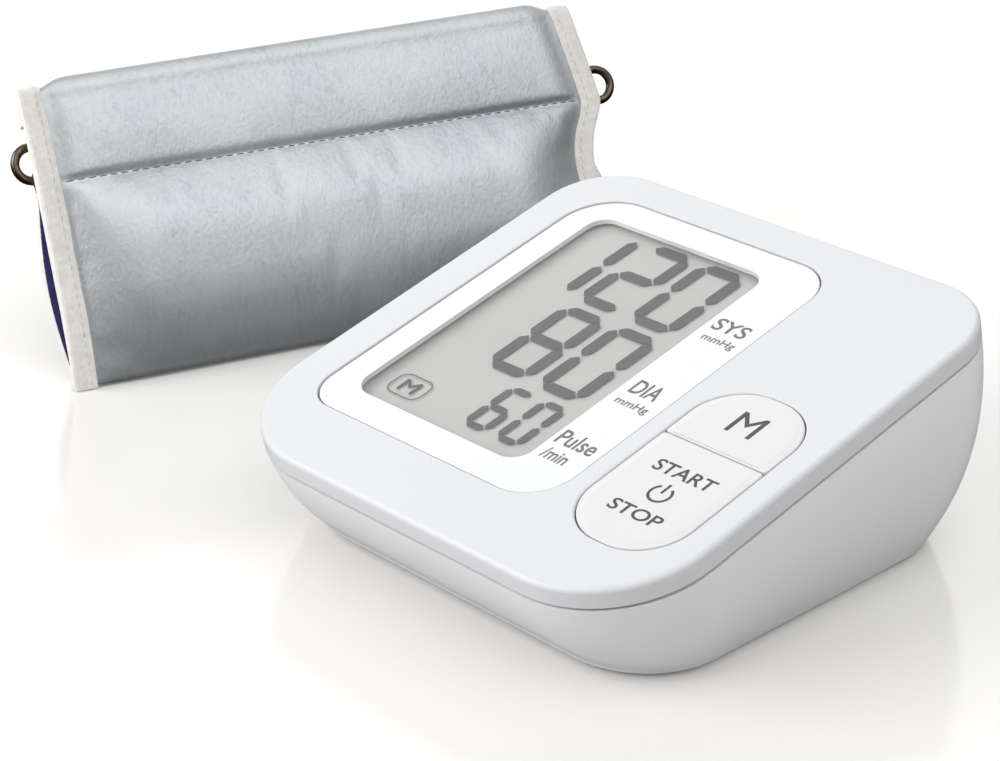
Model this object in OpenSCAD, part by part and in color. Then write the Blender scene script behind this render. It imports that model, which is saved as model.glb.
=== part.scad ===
// Upper arm blood pressure monitor with its rolled cuff.
// The origin is the centre of the unit's footprint, on the surface that it stands on.
// +X is the user's right, +Y points away from the user and +Z is up.

/* [Unit] */
// Width of the sloping front plate
plate_w = 120; // [118:0.5:122]
// Length of the front plate, measured along its slope
plate_l = 121; // [120:0.5:122]
// Slope of the front plate, in degrees
tilt = 13.8; // [13:0.1:14.5]
// Height of the front plate's near edge
front_h = 25.2; // [25:0.1:27]
// Corner radius of the near corners
front_r = 26; // [24:0.5:28]
// Corner radius of the far corners
back_r = 17; // [15:0.5:19]
// Depth of the upper case's rim below the front plate
rim_h = 4.8; // [4.4:0.1:5.2]
// Width of the footprint
base_w = 109; // [107:0.5:111]
// Depth of the footprint
base_l = 100; // [98:0.5:101]
// Thickness of the case walls
wall = 2.2; // [2:0.1:2.4]

/* [Display and buttons] */
// Width of the glossy display panel
panel_w = 71; // [70:0.5:72]
// Length of the display panel
panel_l = 93; // [92:0.5:94]
// Corner radius of the display panel
panel_r = 11; // [9:0.5:13]
// Width of the visible LCD window
window_w = 50; // [48:0.5:52]
// Length of the visible LCD window
window_l = 78; // [76:0.5:80]
// Width of the two buttons
key_w = 26.6; // [25:0.1:27]
// Length of the two buttons together
keys_l = 53; // [52:0.5:54]
// Corner radius of the button group
key_r = 12; // [10:0.5:13]
// How far a button travels when it is pressed
key_travel = 0.6; // [0.4:0.1:0.6]

/* [Power] */
// Diameter of one AA cell
cell_d = 14.2; // [14:0.1:14.5]
// Length of one AA cell
cell_l = 50; // [49.5:0.1:50.5]
// How far the battery cover slides before it comes free
cover_travel = 6; // [4:0.5:6]

/* [Air] */
// Bore of the socket that the air plug goes into
socket_d = 7; // [6:0.1:7.5]
// Depth of that bore
socket_depth = 11; // [9:0.5:12]
// Outside diameter of the soft tubes inside the unit
tube_d = 5; // [4.5:0.1:5.2]
// Diameter of the pump's motor
motor_d = 20.4; // [19:0.1:21]

/* [Cuff] */
// Width of the cuff, along the arm
cuff_w = 148; // [146:1:150]
// Height of the folded cuff, measured along its lean
cuff_h = 74.5; // [74:0.5:75]
// How far the folded cuff leans back from upright, in degrees
lean = 26; // [25:0.5:27]
// Turn of the cuff about the vertical, in degrees
cuff_turn = 72; // [70:0.5:74]
// Width of the edge binding tape
tape_w = 5.8; // [5.5:0.1:6]
// Wire diameter of the steel ring
ring_wire_d = 2.2; // [2:0.1:2.2]
// Outer length of the steel ring
ring_l = 163; // [161:1:165]

/* [Hidden] */

$fn = 64;
eps = 0.01;
plate_y = -65;                          // near edge of the front plate
plate_t = 2.2;                          // thickness of the front plate
foot_h = 0.8;                           // the feet hold the case this far up
floor_t = 2.2;                          // thickness of the case floor
floor_top = foot_h + floor_t;
seam = 0.6;                             // shadow gap between the two cases
edge_r = 1.0;                           // rounding at the edge of the front plate

panel_u = -14;                          // centre of the display panel across the plate
panel_v = 64.5;                         // and along it
panel_t = 1.2;
panel_gap = 0.4;
window_u = -17.2;
window_v = 64.6;
lcd_top = -2.4;                         // upper face of the LCD, below the plate
lcd_t = 2;
key_u = 40;                             // centre of the button group
key_v = 43.1;
key_split = 49.8;                       // line between the two buttons
key_gap = 0.3;
key_flange = 1.2;
key_rise = 0.3;
board_top = -9;
board_t = 1.6;
board_v0 = 26;
board_l = 74;
board_w = 108;

bay_x0 = -46.5;                         // battery bay, inside
bay_w = 61;
bay_y0 = -26;
bay_l = 56;
bay_top = 18.6;
bay_wall = 1.8;
cell_pitch = 15.1;
cover_t = 1.8;

case_boss_r = 3.2;
case_bosses = [[-22, -43.5], [22, -43.5], [-37, 42], [37, 42]];
boss_joint_z = 15;                      // where lower and upper bosses meet
screw_r = 1.5;
board_bosses = [[-50.5, 44], [-50.5, 92], [17, 44], [17, 95]];
board_boss_r = 2.8;
feet = [[-40, -36], [40, -36], [-20, 44.5], [20, 44.5]];

socket_y = -35;
socket_z = 10.5;
socket_x = -58.5;                       // outer face of the socket
manifold_x = 19.2;
pump_x = 36;
pump_z = 15.4;

cuff_x = -133;                          // near left bottom corner of the cuff
cuff_y = -48.5;
ring_h = 10.4;                          // outer height of the ring
ring_s = 57.5;                          // ring's middle, up the lean
ring_n = 6.9;                           // and behind the front face
ring_x = 3.7;                           // how far the ring sits off the cuff's middle
ring_axis_s = ring_s - ring_h / 2 + ring_wire_d / 2;
flap_s = 66;                            // fold that the closing flap hangs from
flap_n = 8.4;
flap_t = 2.4;
flap_w = 84;
flap_x0 = 34;
port_s = 14;
port_d = 4;
port_n = 1.5;
tape_t = 0.75;                          // thickness of the binding tape
bend_s = cuff_h - 3.4;                  // centre of the tight fold along the top of the band
cloth_t = 1.6;                          // thickness of the cuff's flattened edge
cuff_swell = [[2.4, 0.4], [10, -2.6], [20, -4], [34, -4], [44, -2.6], [51.2, 0.4]];

// Rounded rectangle from y = 0 to y = l, with one radius near and another far.
module outline(w, l, near_r, far_r) {
    translate([-w / 2 + near_r, 0]) square([w - 2 * near_r, near_r + eps]);
    translate([-w / 2, near_r]) square([w, l - near_r - far_r]);
    translate([-w / 2 + far_r, l - far_r - eps]) square([w - 2 * far_r, far_r + eps]);
    for (side = [-1, 1]) {
        translate([side * (w / 2 - near_r), near_r]) circle(near_r);
        translate([side * (w / 2 - far_r), l - far_r]) circle(far_r);
    }
}

// Rounded rectangle about its own centre.
module plate_shape(w, l, r) {
    translate([0, -l / 2]) outline(w, l, r, r);
}

// Everything inside is drawn in the front plate's own frame: X across, Y up the slope, Z out.
module on_plate() {
    translate([0, plate_y, front_h]) rotate([tilt, 0, 0]) children();
}

// A slab of the front plate's outline, moved in by inset, between two depths.
module plate_slab(inset, low, high) {
    translate([0, inset, low]) linear_extrude(high - low)
        outline(plate_w - 2 * inset, plate_l - 2 * inset, front_r - inset, back_r - inset);
}

// Outer shape of the lower case, moved in by inset: a loft from the rim to the footprint.
module lower_body(inset, top, bottom) {
    hull() {
        on_plate() plate_slab(inset, top - 1, top);
        translate([0, -57.2 + inset, 9]) linear_extrude(0.5)
            outline(115.2 - 2 * inset, 108.6 - 2 * inset, 24 - inset, 19 - inset);
        translate([0, -base_l / 2 + inset, bottom]) linear_extrude(0.5)
            outline(base_w - 2 * inset, base_l - 2 * inset, 20 - inset, 20 - inset);
    }
}

module case_boss(x, y, z0, z1, r) {
    translate([x, y, z0]) cylinder(r = r, h = z1 - z0);
}

// Group outline of the two buttons, grown by grow.
module key_shape(grow) {
    translate([key_u, key_v]) plate_shape(key_w + 2 * grow, keys_l + 2 * grow, key_r + grow);
}

// The share of the button group above or below the split line.
module key_side(upper) {
    v0 = upper ? key_split + 0.2 : -20;
    translate([0, v0]) square([100, upper ? 60 : key_split - 0.2 + 20]);
}

module upper_case() {
    color([0.91, 0.91, 0.92]) difference() {
        union() {
            on_plate() difference() {
                hull() {
                    plate_slab(0, -rim_h, -edge_r);
                    plate_slab(edge_r, -edge_r, 0);
                }
                plate_slab(wall, -rim_h - 1, -plate_t);
            }
            on_plate() difference() {
                plate_slab(wall - 0.2, -rim_h - 2.2, -plate_t);
                plate_slab(wall + 1.2, -rim_h - 3, 0);
            }
            on_plate() for (p = board_bosses)
                translate([p[0], p[1], board_top]) cylinder(r = board_boss_r, h = -board_top - 1.5);
            difference() {
                for (p = case_bosses) case_boss(p[0], p[1], boss_joint_z, 60, case_boss_r);
                on_plate() translate([-100, -50, -1.5]) cube([200, 250, 60]);
            }
        }
        on_plate() {
            translate([panel_u, panel_v, -panel_t]) linear_extrude(5)
                plate_shape(panel_w + 2 * panel_gap, panel_l + 2 * panel_gap, panel_r + panel_gap);
            translate([window_u, window_v, -5]) linear_extrude(6)
                plate_shape(window_w + 4, window_l + 3, 4);
            translate([0, 0, -5]) linear_extrude(8) key_shape(key_gap);
            for (p = board_bosses) translate([p[0], p[1], board_top - 1]) cylinder(r = 1.1, h = 6);
        }
        for (p = case_bosses) case_boss(p[0], p[1], boss_joint_z - 1, boss_joint_z + 7, 1.3);
    }
}

module bay_box(grow, z0, z1) {
    translate([bay_x0 - grow, bay_y0 - grow, z0]) cube([bay_w + 2 * grow, bay_l + 2 * grow, z1 - z0]);
}

module lower_case() {
    color([0.80, 0.80, 0.82]) difference() {
        union() {
            difference() {
                lower_body(0, -rim_h - seam, foot_h);
                lower_body(wall, 40, floor_top);
                on_plate() plate_slab(wall - 0.3, -rim_h - 2.4, 0);
            }
            bay_box(bay_wall + 1.4, floor_top - 1, 4.4);
            bay_box(bay_wall, floor_top - 1, bay_top + bay_wall);
            for (p = case_bosses) case_boss(p[0], p[1], floor_top - 1, boss_joint_z, case_boss_r);
            translate([manifold_x - 5, socket_y - 3, floor_top - 1]) cube([10, 6, 3.2]);
            for (x = [15, 27]) translate([manifold_x + x, socket_y - 5, floor_top - 1]) cube([2, 10, 2.95]);
        }
        bay_box(-eps, 2.4, bay_top);
        bay_box(-1.6, 0, 5);
        // Shallow outer recess that the cover slides along.
        translate([bay_x0 - 1.6, bay_y0 - 1.6, 0])
            cube([bay_w + 3.2, bay_l + 3.2 + cover_travel, foot_h + cover_t + 0.1]);
        // Side slots for the cover's tongues, open downwards at their far ends.
        for (x = [bay_x0 - 2.9, bay_x0 + bay_w + 1.5], y = [bay_y0 + 4, bay_y0 + 40]) {
            translate([x, y - 0.2, 1.3]) cube([1.4, 6.4 + cover_travel, 1.1]);
            translate([x, y + cover_travel - 0.2, 0]) cube([1.4, 6.4, 2]);
        }
        for (p = feet) translate([p[0], p[1], 0]) cylinder(r = 4.6, h = 1.8);
        for (p = case_bosses) {
            case_boss(p[0], p[1], 0, 20, screw_r + 0.1);
            case_boss(p[0], p[1], 0, 7, 2.9 - 0.3);
        }
        translate([-70, socket_y, socket_z]) rotate([0, 90, 0]) cylinder(r = 6.05, h = 20);
    }
}

module display_panel() {
    color([0.97, 0.97, 0.97]) on_plate() translate([panel_u, panel_v, -panel_t]) linear_extrude(panel_t)
        plate_shape(panel_w, panel_l, panel_r);
}

module lcd_glass() {
    color([0.80, 0.81, 0.80]) on_plate() translate([window_u, window_v, lcd_top - lcd_t])
        linear_extrude(lcd_t) plate_shape(window_w + 3.6, window_l + 2.6, 1);
}

module lcd_holder() {
    color([0.9, 0.9, 0.9]) difference() {
        on_plate() translate([window_u, window_v, board_top + 0.1]) difference() {
            linear_extrude(-board_top - 0.1 - plate_t) plate_shape(window_w + 7.4, window_l + 6.4, 2);
            translate([0, 0, lcd_top - lcd_t - board_top - 0.2]) linear_extrude(10)
                plate_shape(window_w + 4, window_l + 3, 1);
            translate([0, 0, -1]) linear_extrude(20) plate_shape(window_w - 4, window_l - 4, 2);
        }
        for (p = case_bosses) case_boss(p[0], p[1], 0, 60, case_boss_r + 0.2);
    }
}

module lcd_contact_strip() {
    color([0.25, 0.25, 0.28]) on_plate() translate([window_u - 20, 28.4, board_top])
        cube([40, 2, lcd_top - lcd_t - board_top]);
}

module main_board() {
    color([0.10, 0.42, 0.24]) on_plate() difference() {
        translate([-board_w / 2, board_v0, board_top - board_t]) cube([board_w, board_l, board_t]);
        for (p = board_bosses) translate([p[0], p[1], board_top - 5]) cylinder(r = 1.4, h = 10);
    }
}

module processor() {
    color([0.1, 0.1, 0.1]) on_plate() translate([-20, 60, board_top - board_t - 1.6])
        cube([14, 14, 1.6]);
}

module buzzer() {
    color([0.12, 0.12, 0.12]) on_plate() translate([40, 84, board_top]) difference() {
        cylinder(r = 6, h = 4.5);
        translate([0, 0, 3.5]) cylinder(r = 1, h = 2);
    }
}

module key(upper) {
    on_plate() {
        translate([0, 0, -plate_t - 0.2]) linear_extrude(plate_t + 0.2 + key_rise) intersection() {
            key_shape(0);
            key_side(upper);
        }
        translate([0, 0, -plate_t - 1.2]) linear_extrude(1.1) intersection() {
            key_shape(key_flange);
            key_side(upper);
        }
    }
}

module memory_button() {
    color([0.95, 0.95, 0.94]) key(true);
}

module start_stop_button() {
    color([0.95, 0.95, 0.94]) key(false);
}

module key_switch(v) {
    on_plate() translate([key_u, v, board_top]) difference() {
        translate([-3, -3, 0]) cube([6, 6, 3.8]);
        translate([0, 0, 0.6]) cylinder(r = 1.8, h = 6);
    }
}

module key_plunger(v) {
    low = board_top + 0.8 + key_travel;
    on_plate() translate([key_u, v, low]) cylinder(r = 1.75, h = -plate_t - 1.2 - low);
}

module memory_switch() {
    color([0.2, 0.2, 0.2]) key_switch(59.5);
}

module start_stop_switch() {
    color([0.2, 0.2, 0.2]) key_switch(33.5);
}

module memory_plunger() {
    color([0.85, 0.8, 0.7]) key_plunger(59.5);
}

module start_stop_plunger() {
    color([0.85, 0.8, 0.7]) key_plunger(33.5);
}

module battery_cover() {
    color([0.80, 0.80, 0.82]) difference() {
        union() {
            translate([bay_x0 - 1.4, bay_y0 - 1.4, foot_h]) cube([bay_w + 2.8, bay_l + 2.8, cover_t]);
            for (x = [bay_x0 - 2.7, bay_x0 + bay_w + 1.2], y = [bay_y0 + 4, bay_y0 + 40])
                translate([x, y, 1.4]) cube([1.5, 6, 0.8]);
        }
        for (i = [0:4]) translate([bay_x0 + bay_w / 2 - 9, bay_y0 + 44 + 2.4 * i, 0])
            cube([18, 1.2, foot_h + 0.6]);
    }
}

// One AA cell; odd cells point the other way.
module cell(i) {
    flip = i % 2 == 0 ? 1 : -1;
    translate([bay_x0 + bay_w / 2 + (i - 2.5) * cell_pitch, bay_y0 + bay_l / 2, 10.4])
        rotate([90 * flip, 0, 0]) translate([0, 0, -cell_l / 2]) {
            cylinder(r = cell_d / 2, h = cell_l - 1);
            cylinder(r = 2.75, h = cell_l);
        }
}

module cell_1() { color([0.20, 0.22, 0.25]) cell(1); }
module cell_2() { color([0.20, 0.22, 0.25]) cell(2); }
module cell_3() { color([0.20, 0.22, 0.25]) cell(3); }
module cell_4() { color([0.20, 0.22, 0.25]) cell(4); }

// A sprung contact plate at the near (0) or far (1) end of the bay, spanning cells a to b.
module contact(end, a, b) {
    x0 = bay_x0 + bay_w / 2 + (a - 2.5) * cell_pitch - 5;
    x1 = bay_x0 + bay_w / 2 + (b - 2.5) * cell_pitch + 5;
    y = end == 0 ? bay_y0 + 0.1 : bay_y0 + bay_l - 0.6;
    toward = end == 0 ? 1 : -1;
    color([0.8, 0.8, 0.78]) {
        translate([x0, y, 5]) cube([x1 - x0, 0.5, 11]);
        for (i = [a:b]) translate([bay_x0 + bay_w / 2 + (i - 2.5) * cell_pitch, y + 0.25, 10.4])
            rotate([-90 * toward, 0, 0]) cylinder(r1 = 4.2, r2 = 2.4, h = 2.6);
    }
}

module contact_plus() { contact(0, 1, 1); }
module contact_minus() { contact(0, 4, 4); }
module contact_link_1() { contact(1, 1, 2); }
module contact_link_2() { contact(0, 2, 3); }
module contact_link_3() { contact(1, 3, 4); }

module foot(i) {
    color([0.35, 0.35, 0.36]) translate([feet[i][0], feet[i][1], 0]) cylinder(r = 4.5, h = 1.8);
}

module foot_front_left() { foot(0); }
module foot_front_right() { foot(1); }
module foot_back_left() { foot(2); }
module foot_back_right() { foot(3); }

module case_screws() {
    color([0.75, 0.75, 0.77]) for (p = case_bosses) difference() {
        union() {
            case_boss(p[0], p[1], 5, 7, 2.5);
            case_boss(p[0], p[1], 6, 20, 1.25);
        }
        translate([p[0] - 1.8, p[1] - 0.3, 4]) cube([3.6, 0.6, 2]);
        translate([p[0] - 0.3, p[1] - 1.8, 4]) cube([0.6, 3.6, 2]);
    }
}

module board_screws() {
    color([0.75, 0.75, 0.77]) on_plate() for (p = board_bosses) translate([p[0], p[1], 0]) {
        translate([0, 0, board_top - board_t - 1.4]) cylinder(r = 2.2, h = 1.4);
        translate([0, 0, board_top - board_t - 1]) cylinder(r = 1.05, h = 6);
    }
}

// Points +X: everything inside is turned so that its Z runs along X.
module along_x(x, y, z) {
    translate([x, y, z]) rotate([0, 90, 0]) children();
}

// The same for Y.
module along_y(x, y, z) {
    translate([x, y, z]) rotate([-90, 0, 0]) children();
}

module air_socket() {
    color([0.80, 0.80, 0.82]) along_x(socket_x, socket_y, socket_z) difference() {
        union() {
            cylinder(r = 6, h = socket_depth + 2);
            translate([0, 0, socket_depth + 1]) cylinder(r = 2.2, h = 8);
        }
        translate([0, 0, -1]) cylinder(r = socket_d / 2, h = socket_depth + 1);
        translate([0, 0, 5]) cylinder(r = 4.6, h = 1.8);
        cylinder(r = 1, h = 30);
    }
}

module socket_seal() {
    color([0.15, 0.15, 0.15]) along_x(socket_x + 5.9, socket_y, socket_z)
        rotate_extrude() translate([4.05, 0]) circle(r = 0.54, $fn = 24);
}

module air_manifold() {
    color([0.9, 0.9, 0.88]) translate([manifold_x, socket_y, socket_z]) difference() {
        union() {
            translate([-6, -4, -4.3]) cube([12, 8, 8.3]);
            along_x(-11, 0, 0) cylinder(r = 1.6, h = 19.5);
            along_y(0, 0, 0) cylinder(r = 1.6, h = 9);
            cylinder(r = 1.6, h = 6);
        }
        along_x(-12, 0, 0) cylinder(r = 0.9, h = 24);
        along_y(0, 0, 0) cylinder(r = 0.9, h = 10);
        cylinder(r = 0.9, h = 7);
    }
}

// A soft tube with a bore that grips its fittings.
module soft_tube(len, bore) {
    difference() {
        cylinder(r = tube_d / 2, h = len);
        translate([0, 0, -1]) cylinder(r = bore, h = len + 2);
    }
}

module socket_tube() {
    x0 = socket_x + socket_depth + 2.2;
    color([0.85, 0.84, 0.8]) along_x(x0, socket_y, socket_z) difference() {
        cylinder(r = tube_d / 2, h = manifold_x - 6.2 - x0);
        translate([0, 0, -1]) cylinder(r = 2.25, h = 8);
        cylinder(r = 1.65, h = 90);
    }
}

module valve_tube() {
    color([0.85, 0.84, 0.8]) along_x(manifold_x + 6.2, socket_y, socket_z) soft_tube(5.6, 1.65);
}

module pump_tube() {
    y0 = socket_y + 4.2;
    y1 = 30;
    color([0.85, 0.84, 0.8]) difference() {
        union() {
            along_y(manifold_x, y0, socket_z) cylinder(r = tube_d / 2, h = y1 - y0);
            translate([manifold_x, y1, socket_z]) sphere(r = tube_d / 2);
            along_x(manifold_x, y1, socket_z) cylinder(r = tube_d / 2, h = 5.6);
        }
        along_y(manifold_x, y0 - 1, socket_z) cylinder(r = 1.65, h = y1 - y0 + 1);
        along_x(manifold_x, y1, socket_z) cylinder(r = 1.65, h = 10);
    }
}

module sensor_tube() {
    color([0.85, 0.84, 0.8]) translate([manifold_x, socket_y, socket_z + 4.2]) soft_tube(2.6, 1.65);
}

module pressure_sensor() {
    color([0.15, 0.15, 0.15]) on_plate() translate([manifold_x, 33, board_top - board_t - 2.2])
        translate([-4, -4, 0]) cube([8, 8, 2.2]);
}

module pump_motor() {
    color([0.75, 0.76, 0.78]) along_y(pump_x, -8, pump_z) difference() {
        union() {
            cylinder(r = motor_d / 2, h = 30);
            translate([0, 0, -1.5]) cylinder(r = 3, h = 3);
        }
        translate([0, 0, 1.2]) cylinder(r = motor_d / 2 - 1.2, h = 27.6);
        translate([0, 0, -3]) cylinder(r = 1.05, h = 36);
    }
}

module pump_head() {
    color([0.25, 0.25, 0.27]) difference() {
        union() {
            translate([pump_x - 11, 22.1, pump_z - 11]) cube([22, 15, 22]);
            along_x(pump_x - 15, 30, socket_z) cylinder(r = 1.6, h = 6);
        }
        along_y(pump_x, 24, pump_z) cylinder(r = 8.4, h = 11);
        along_y(pump_x, 20, pump_z) cylinder(r = 1.05, h = 6);
        along_x(pump_x - 18, 30, socket_z) cylinder(r = 0.9, h = 12);
    }
}

module pump_rotor() {
    color([0.6, 0.55, 0.5]) {
        along_y(pump_x, -10.5, pump_z) cylinder(r = 1, h = 43);
        along_y(pump_x, -4, pump_z) cylinder(r = 7.4, h = 20);
        along_y(pump_x + 1.5, 26, pump_z) cylinder(r = 5, h = 6);
    }
}

module pump_cradle() {
    color([0.2, 0.2, 0.2]) difference() {
        translate([pump_x - 12, -2, floor_top]) cube([24, 16, 8.4]);
        along_y(pump_x, -20, pump_z) cylinder(r = motor_d / 2 + 0.02, h = 60);
    }
}

module exhaust_valve() {
    color([0.3, 0.3, 0.32]) along_x(manifold_x + 13, socket_y, socket_z) difference() {
        union() {
            cylinder(r = 5.5, h = 18);
            translate([0, 0, -3]) cylinder(r = 1.6, h = 4);
        }
        translate([0, 0, 5]) cylinder(r = 2.05, h = 20);
        translate([0, 0, -4]) cylinder(r = 0.8, h = 12);
    }
}

module valve_plunger() {
    color([0.7, 0.7, 0.72]) along_x(manifold_x + 13 + 6.2, socket_y, socket_z) cylinder(r = 2, h = 13.5);
}

// Places the cuff: inside, X runs along the arm, Y points behind the cuff, Z is up.
module on_cuff() {
    translate([cuff_x, cuff_y, 0]) rotate([0, 0, cuff_turn]) children();
}

// A point of the folded profile: s up the lean, n behind the front face.
function at(s, n) = [s * sin(lean) + n * cos(lean), s * cos(lean) - n * sin(lean)];

// The lowest s at depth n that stays on the ground.
function ground(n) = (0.05 + n * sin(lean)) / cos(lean);

// Arc of the profile about (s, n), from angle a to b, measured from straight up towards the back.
function bend(s, n, r, a, b, steps = 8) =
    [for (i = [0:steps]) let (t = a + (b - a) * i / steps) at(s + r * cos(t), n + r * sin(t))];

// Extrudes a profile from x0 to x1 along the arm.
module strip(points, x0, x1) {
    on_cuff() translate([x0, 0, 0]) rotate([90, 0, 90]) linear_extrude(x1 - x0) polygon(points);
}

// A layer from depth n0 to n1, standing on the ground and reaching up to s1.
module layer(n0, n1, s0, s1, x0, x1) {
    strip([at(max(s0, ground(n0)), n0), at(s1, n0), at(s1, n1), at(max(s0, ground(n1)), n1)], x0, x1);
}

// Profile of the outer band: a front layer of thickness t from depth front, the tight fold over the
// top, and a short rear layer whose back is at depth rear. A cutter runs past both ends by over.
function band(front, t, rear, over = 0) =
    let (r = (rear - front) / 2, mid = (rear + front) / 2) concat(
        [at(ground(front + t) - over, front + t), at(ground(front) - over, front)],
        bend(bend_s, mid, r, -90, 90),
        [at(flap_s - over, rear), at(flap_s - over, rear - t)],
        bend(bend_s, mid, r - t, 90, -90));

// A round rod along the arm, centred on a point of the profile.
module rod(s, n, r, x0, x1) {
    on_cuff() translate([x0, at(s, n)[0], at(s, n)[1]]) rotate([0, 90, 0]) cylinder(r = r, h = x1 - x0);
}

module cuff_panel() {
    color([0.68, 0.71, 0.73]) difference() {
        union() {
            strip(band(0.8, cloth_t, 6), tape_t + 0.05, cuff_w - tape_t - 0.05);
            strip(band(-0.8, 3.2, 6.8), tape_w + 0.6, cuff_w - tape_w - 0.6);
            layer(2.3, 4, 0, 52, tape_w + 0.6, cuff_w - tape_w - 0.6);
            layer(3.9, 8.6, 0, 6.5, tape_w + 0.6, cuff_w - tape_w - 0.6);
            strip([for (p = cuff_swell) at(p[0], p[1])], tape_w + 6, cuff_w - tape_w - 6);
        }
        layer(0.4, 2.8, 9, 48, 14, cuff_w - 14);
        rod(port_s, port_n, 2.5, cuff_w - 15, cuff_w + 1);
        rod(port_s, port_n, 3.05, cuff_w - tape_w - 0.1, cuff_w + 1);
    }
}

module cuff_bladder() {
    color([0.2, 0.2, 0.25]) layer(0.5, 2.7, 9.5, 47.5, 14.5, cuff_w - 14.5);
}

module cuff_air_port() {
    color([0.2, 0.2, 0.22]) {
        rod(port_s, port_n, 2.4, cuff_w - 14.4, cuff_w + 1);
        rod(port_s, port_n, port_d / 2, cuff_w - 14.4, cuff_w + 9);
    }
}

module cuff_lining() {
    color([0.13, 0.12, 0.39]) layer(4.1, 4.8, 8, 50, 1.4, cuff_w - tape_w - 1.4);
}

// Binding tape folded round one end of the outer band, between x0 and x1.
module band_tape(x0, x1, rim_x0, rim_x1) {
    difference() {
        strip(band(0, 2 * tape_t + cloth_t + 0.1, 6.8), x0, x1);
        strip(band(tape_t, cloth_t + 0.1, 6.05, 1), rim_x0, rim_x1);
    }
}

module cuff_tape_left() {
    color([0.90, 0.89, 0.85]) band_tape(0, tape_w, tape_t, tape_w + 1);
}

module cuff_tape_right() {
    color([0.90, 0.89, 0.85]) difference() {
        union() {
            band_tape(cuff_w - tape_w, cuff_w, cuff_w - tape_w - 1, cuff_w - tape_t);
            rod(port_s, port_n, 3, cuff_w - tape_w, cuff_w);
        }
        rod(port_s, port_n, 2.45, cuff_w - tape_w - 1, cuff_w + 1);
    }
}

module cuff_fold() {
    color([0.60, 0.62, 0.65]) difference() {
        union() {
            layer(5.6, 7.8, 6.7, ring_axis_s, 1.2, cuff_w - 1.2);
            rod(ring_axis_s, ring_n, 2, 1.2, cuff_w - 1.2);
        }
        rod(ring_axis_s, ring_n, ring_wire_d / 2 + 0.06, 0, cuff_w);
    }
}

// Binding tape folded round one end of the inner fold.
module fold_tape(x0, x1, rim_x0, rim_x1) {
    difference() {
        layer(4.9, 8.5, 0, ring_axis_s - 3, x0, x1);
        strip([at(-2, 5.55), at(ring_s, 5.55), at(ring_s, 7.85), at(-2, 7.85)], rim_x0, rim_x1);
    }
}

module cuff_fold_tape_left() {
    color([0.90, 0.89, 0.85]) fold_tape(0.6, tape_w, 1.15, tape_w + 1);
}

module cuff_fold_tape_right() {
    color([0.90, 0.89, 0.85]) fold_tape(cuff_w - tape_w, cuff_w - 0.6, cuff_w - tape_w - 1, cuff_w - 1.15);
}

// A long narrow wire ring with round ends.
module cuff_ring() {
    r = ring_h / 2 - ring_wire_d / 2;
    reach = ring_l / 2 - ring_h / 2;
    place = at(ring_s, ring_n);
    color([0.45, 0.42, 0.38]) on_cuff() translate([cuff_w / 2 + ring_x, place[0], place[1]])
        rotate([-lean, 0, 0]) {
            for (z = [-r, r]) along_x(-reach, 0, z) cylinder(r = ring_wire_d / 2, h = 2 * reach);
            for (side = [-1, 1]) translate([side * reach, 0, 0]) rotate([90, 0, 0])
                rotate([0, 0, side == 1 ? -90 : 90]) rotate_extrude(angle = 180)
                    translate([r, 0]) circle(r = ring_wire_d / 2);
        }
}

// The closing flap hangs from the fold straight down to the ground, with round lower corners.
module cuff_flap() {
    top = at(flap_s, flap_n);
    color([0.68, 0.71, 0.73]) {
        rod(flap_s, flap_n, flap_t / 2, flap_x0, flap_x0 + flap_w);
        on_cuff() translate([flap_x0 + flap_w / 2, top[0], 0.1]) rotate([90, 0, 0])
            linear_extrude(flap_t, center = true) outline(flap_w, top[1] - 0.1, 14, 1);
    }
}

module cuff_hook_pad() {
    top = at(flap_s, flap_n);
    color([0.13, 0.12, 0.30]) on_cuff() translate([flap_x0 + flap_w / 2, top[0] - flap_t / 2 - 0.4, 6])
        rotate([90, 0, 0]) linear_extrude(0.8, center = true) outline(flap_w - 24, 28, 6, 6);
}

module cuff_loop_pad() {
    color([0.13, 0.12, 0.30]) layer(7.9, 8.7, 12, 46, 12, cuff_w - 12);
}

upper_case();
lower_case();
display_panel();
lcd_glass();
lcd_holder();
lcd_contact_strip();
main_board();
processor();
buzzer();
memory_button();
start_stop_button();
memory_switch();
start_stop_switch();
memory_plunger();
start_stop_plunger();
battery_cover();
cell_1();
cell_2();
cell_3();
cell_4();
contact_plus();
contact_minus();
contact_link_1();
contact_link_2();
contact_link_3();
foot_front_left();
foot_front_right();
foot_back_left();
foot_back_right();
case_screws();
board_screws();
air_socket();
socket_seal();
air_manifold();
pressure_sensor();
socket_tube();
valve_tube();
pump_tube();
sensor_tube();
pump_motor();
pump_head();
pump_rotor();
pump_cradle();
exhaust_valve();
valve_plunger();
cuff_panel();
cuff_bladder();
cuff_lining();
cuff_tape_left();
cuff_tape_right();
cuff_fold();
cuff_fold_tape_left();
cuff_fold_tape_right();
cuff_ring();
cuff_flap();
cuff_hook_pad();
cuff_loop_pad();
cuff_air_port();
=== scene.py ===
"""The looks of an upper arm blood pressure monitor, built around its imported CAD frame.

Sizes here are millimetres in the part's own frame; Solid.piece() turns them into metres.
"""

from math import cos, exp, pi, radians, sin, sqrt
from collections import namedtuple

import bmesh
import bpy
from mathutils import Matrix, Vector, noise
from mathutils.bvhtree import BVHTree


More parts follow.
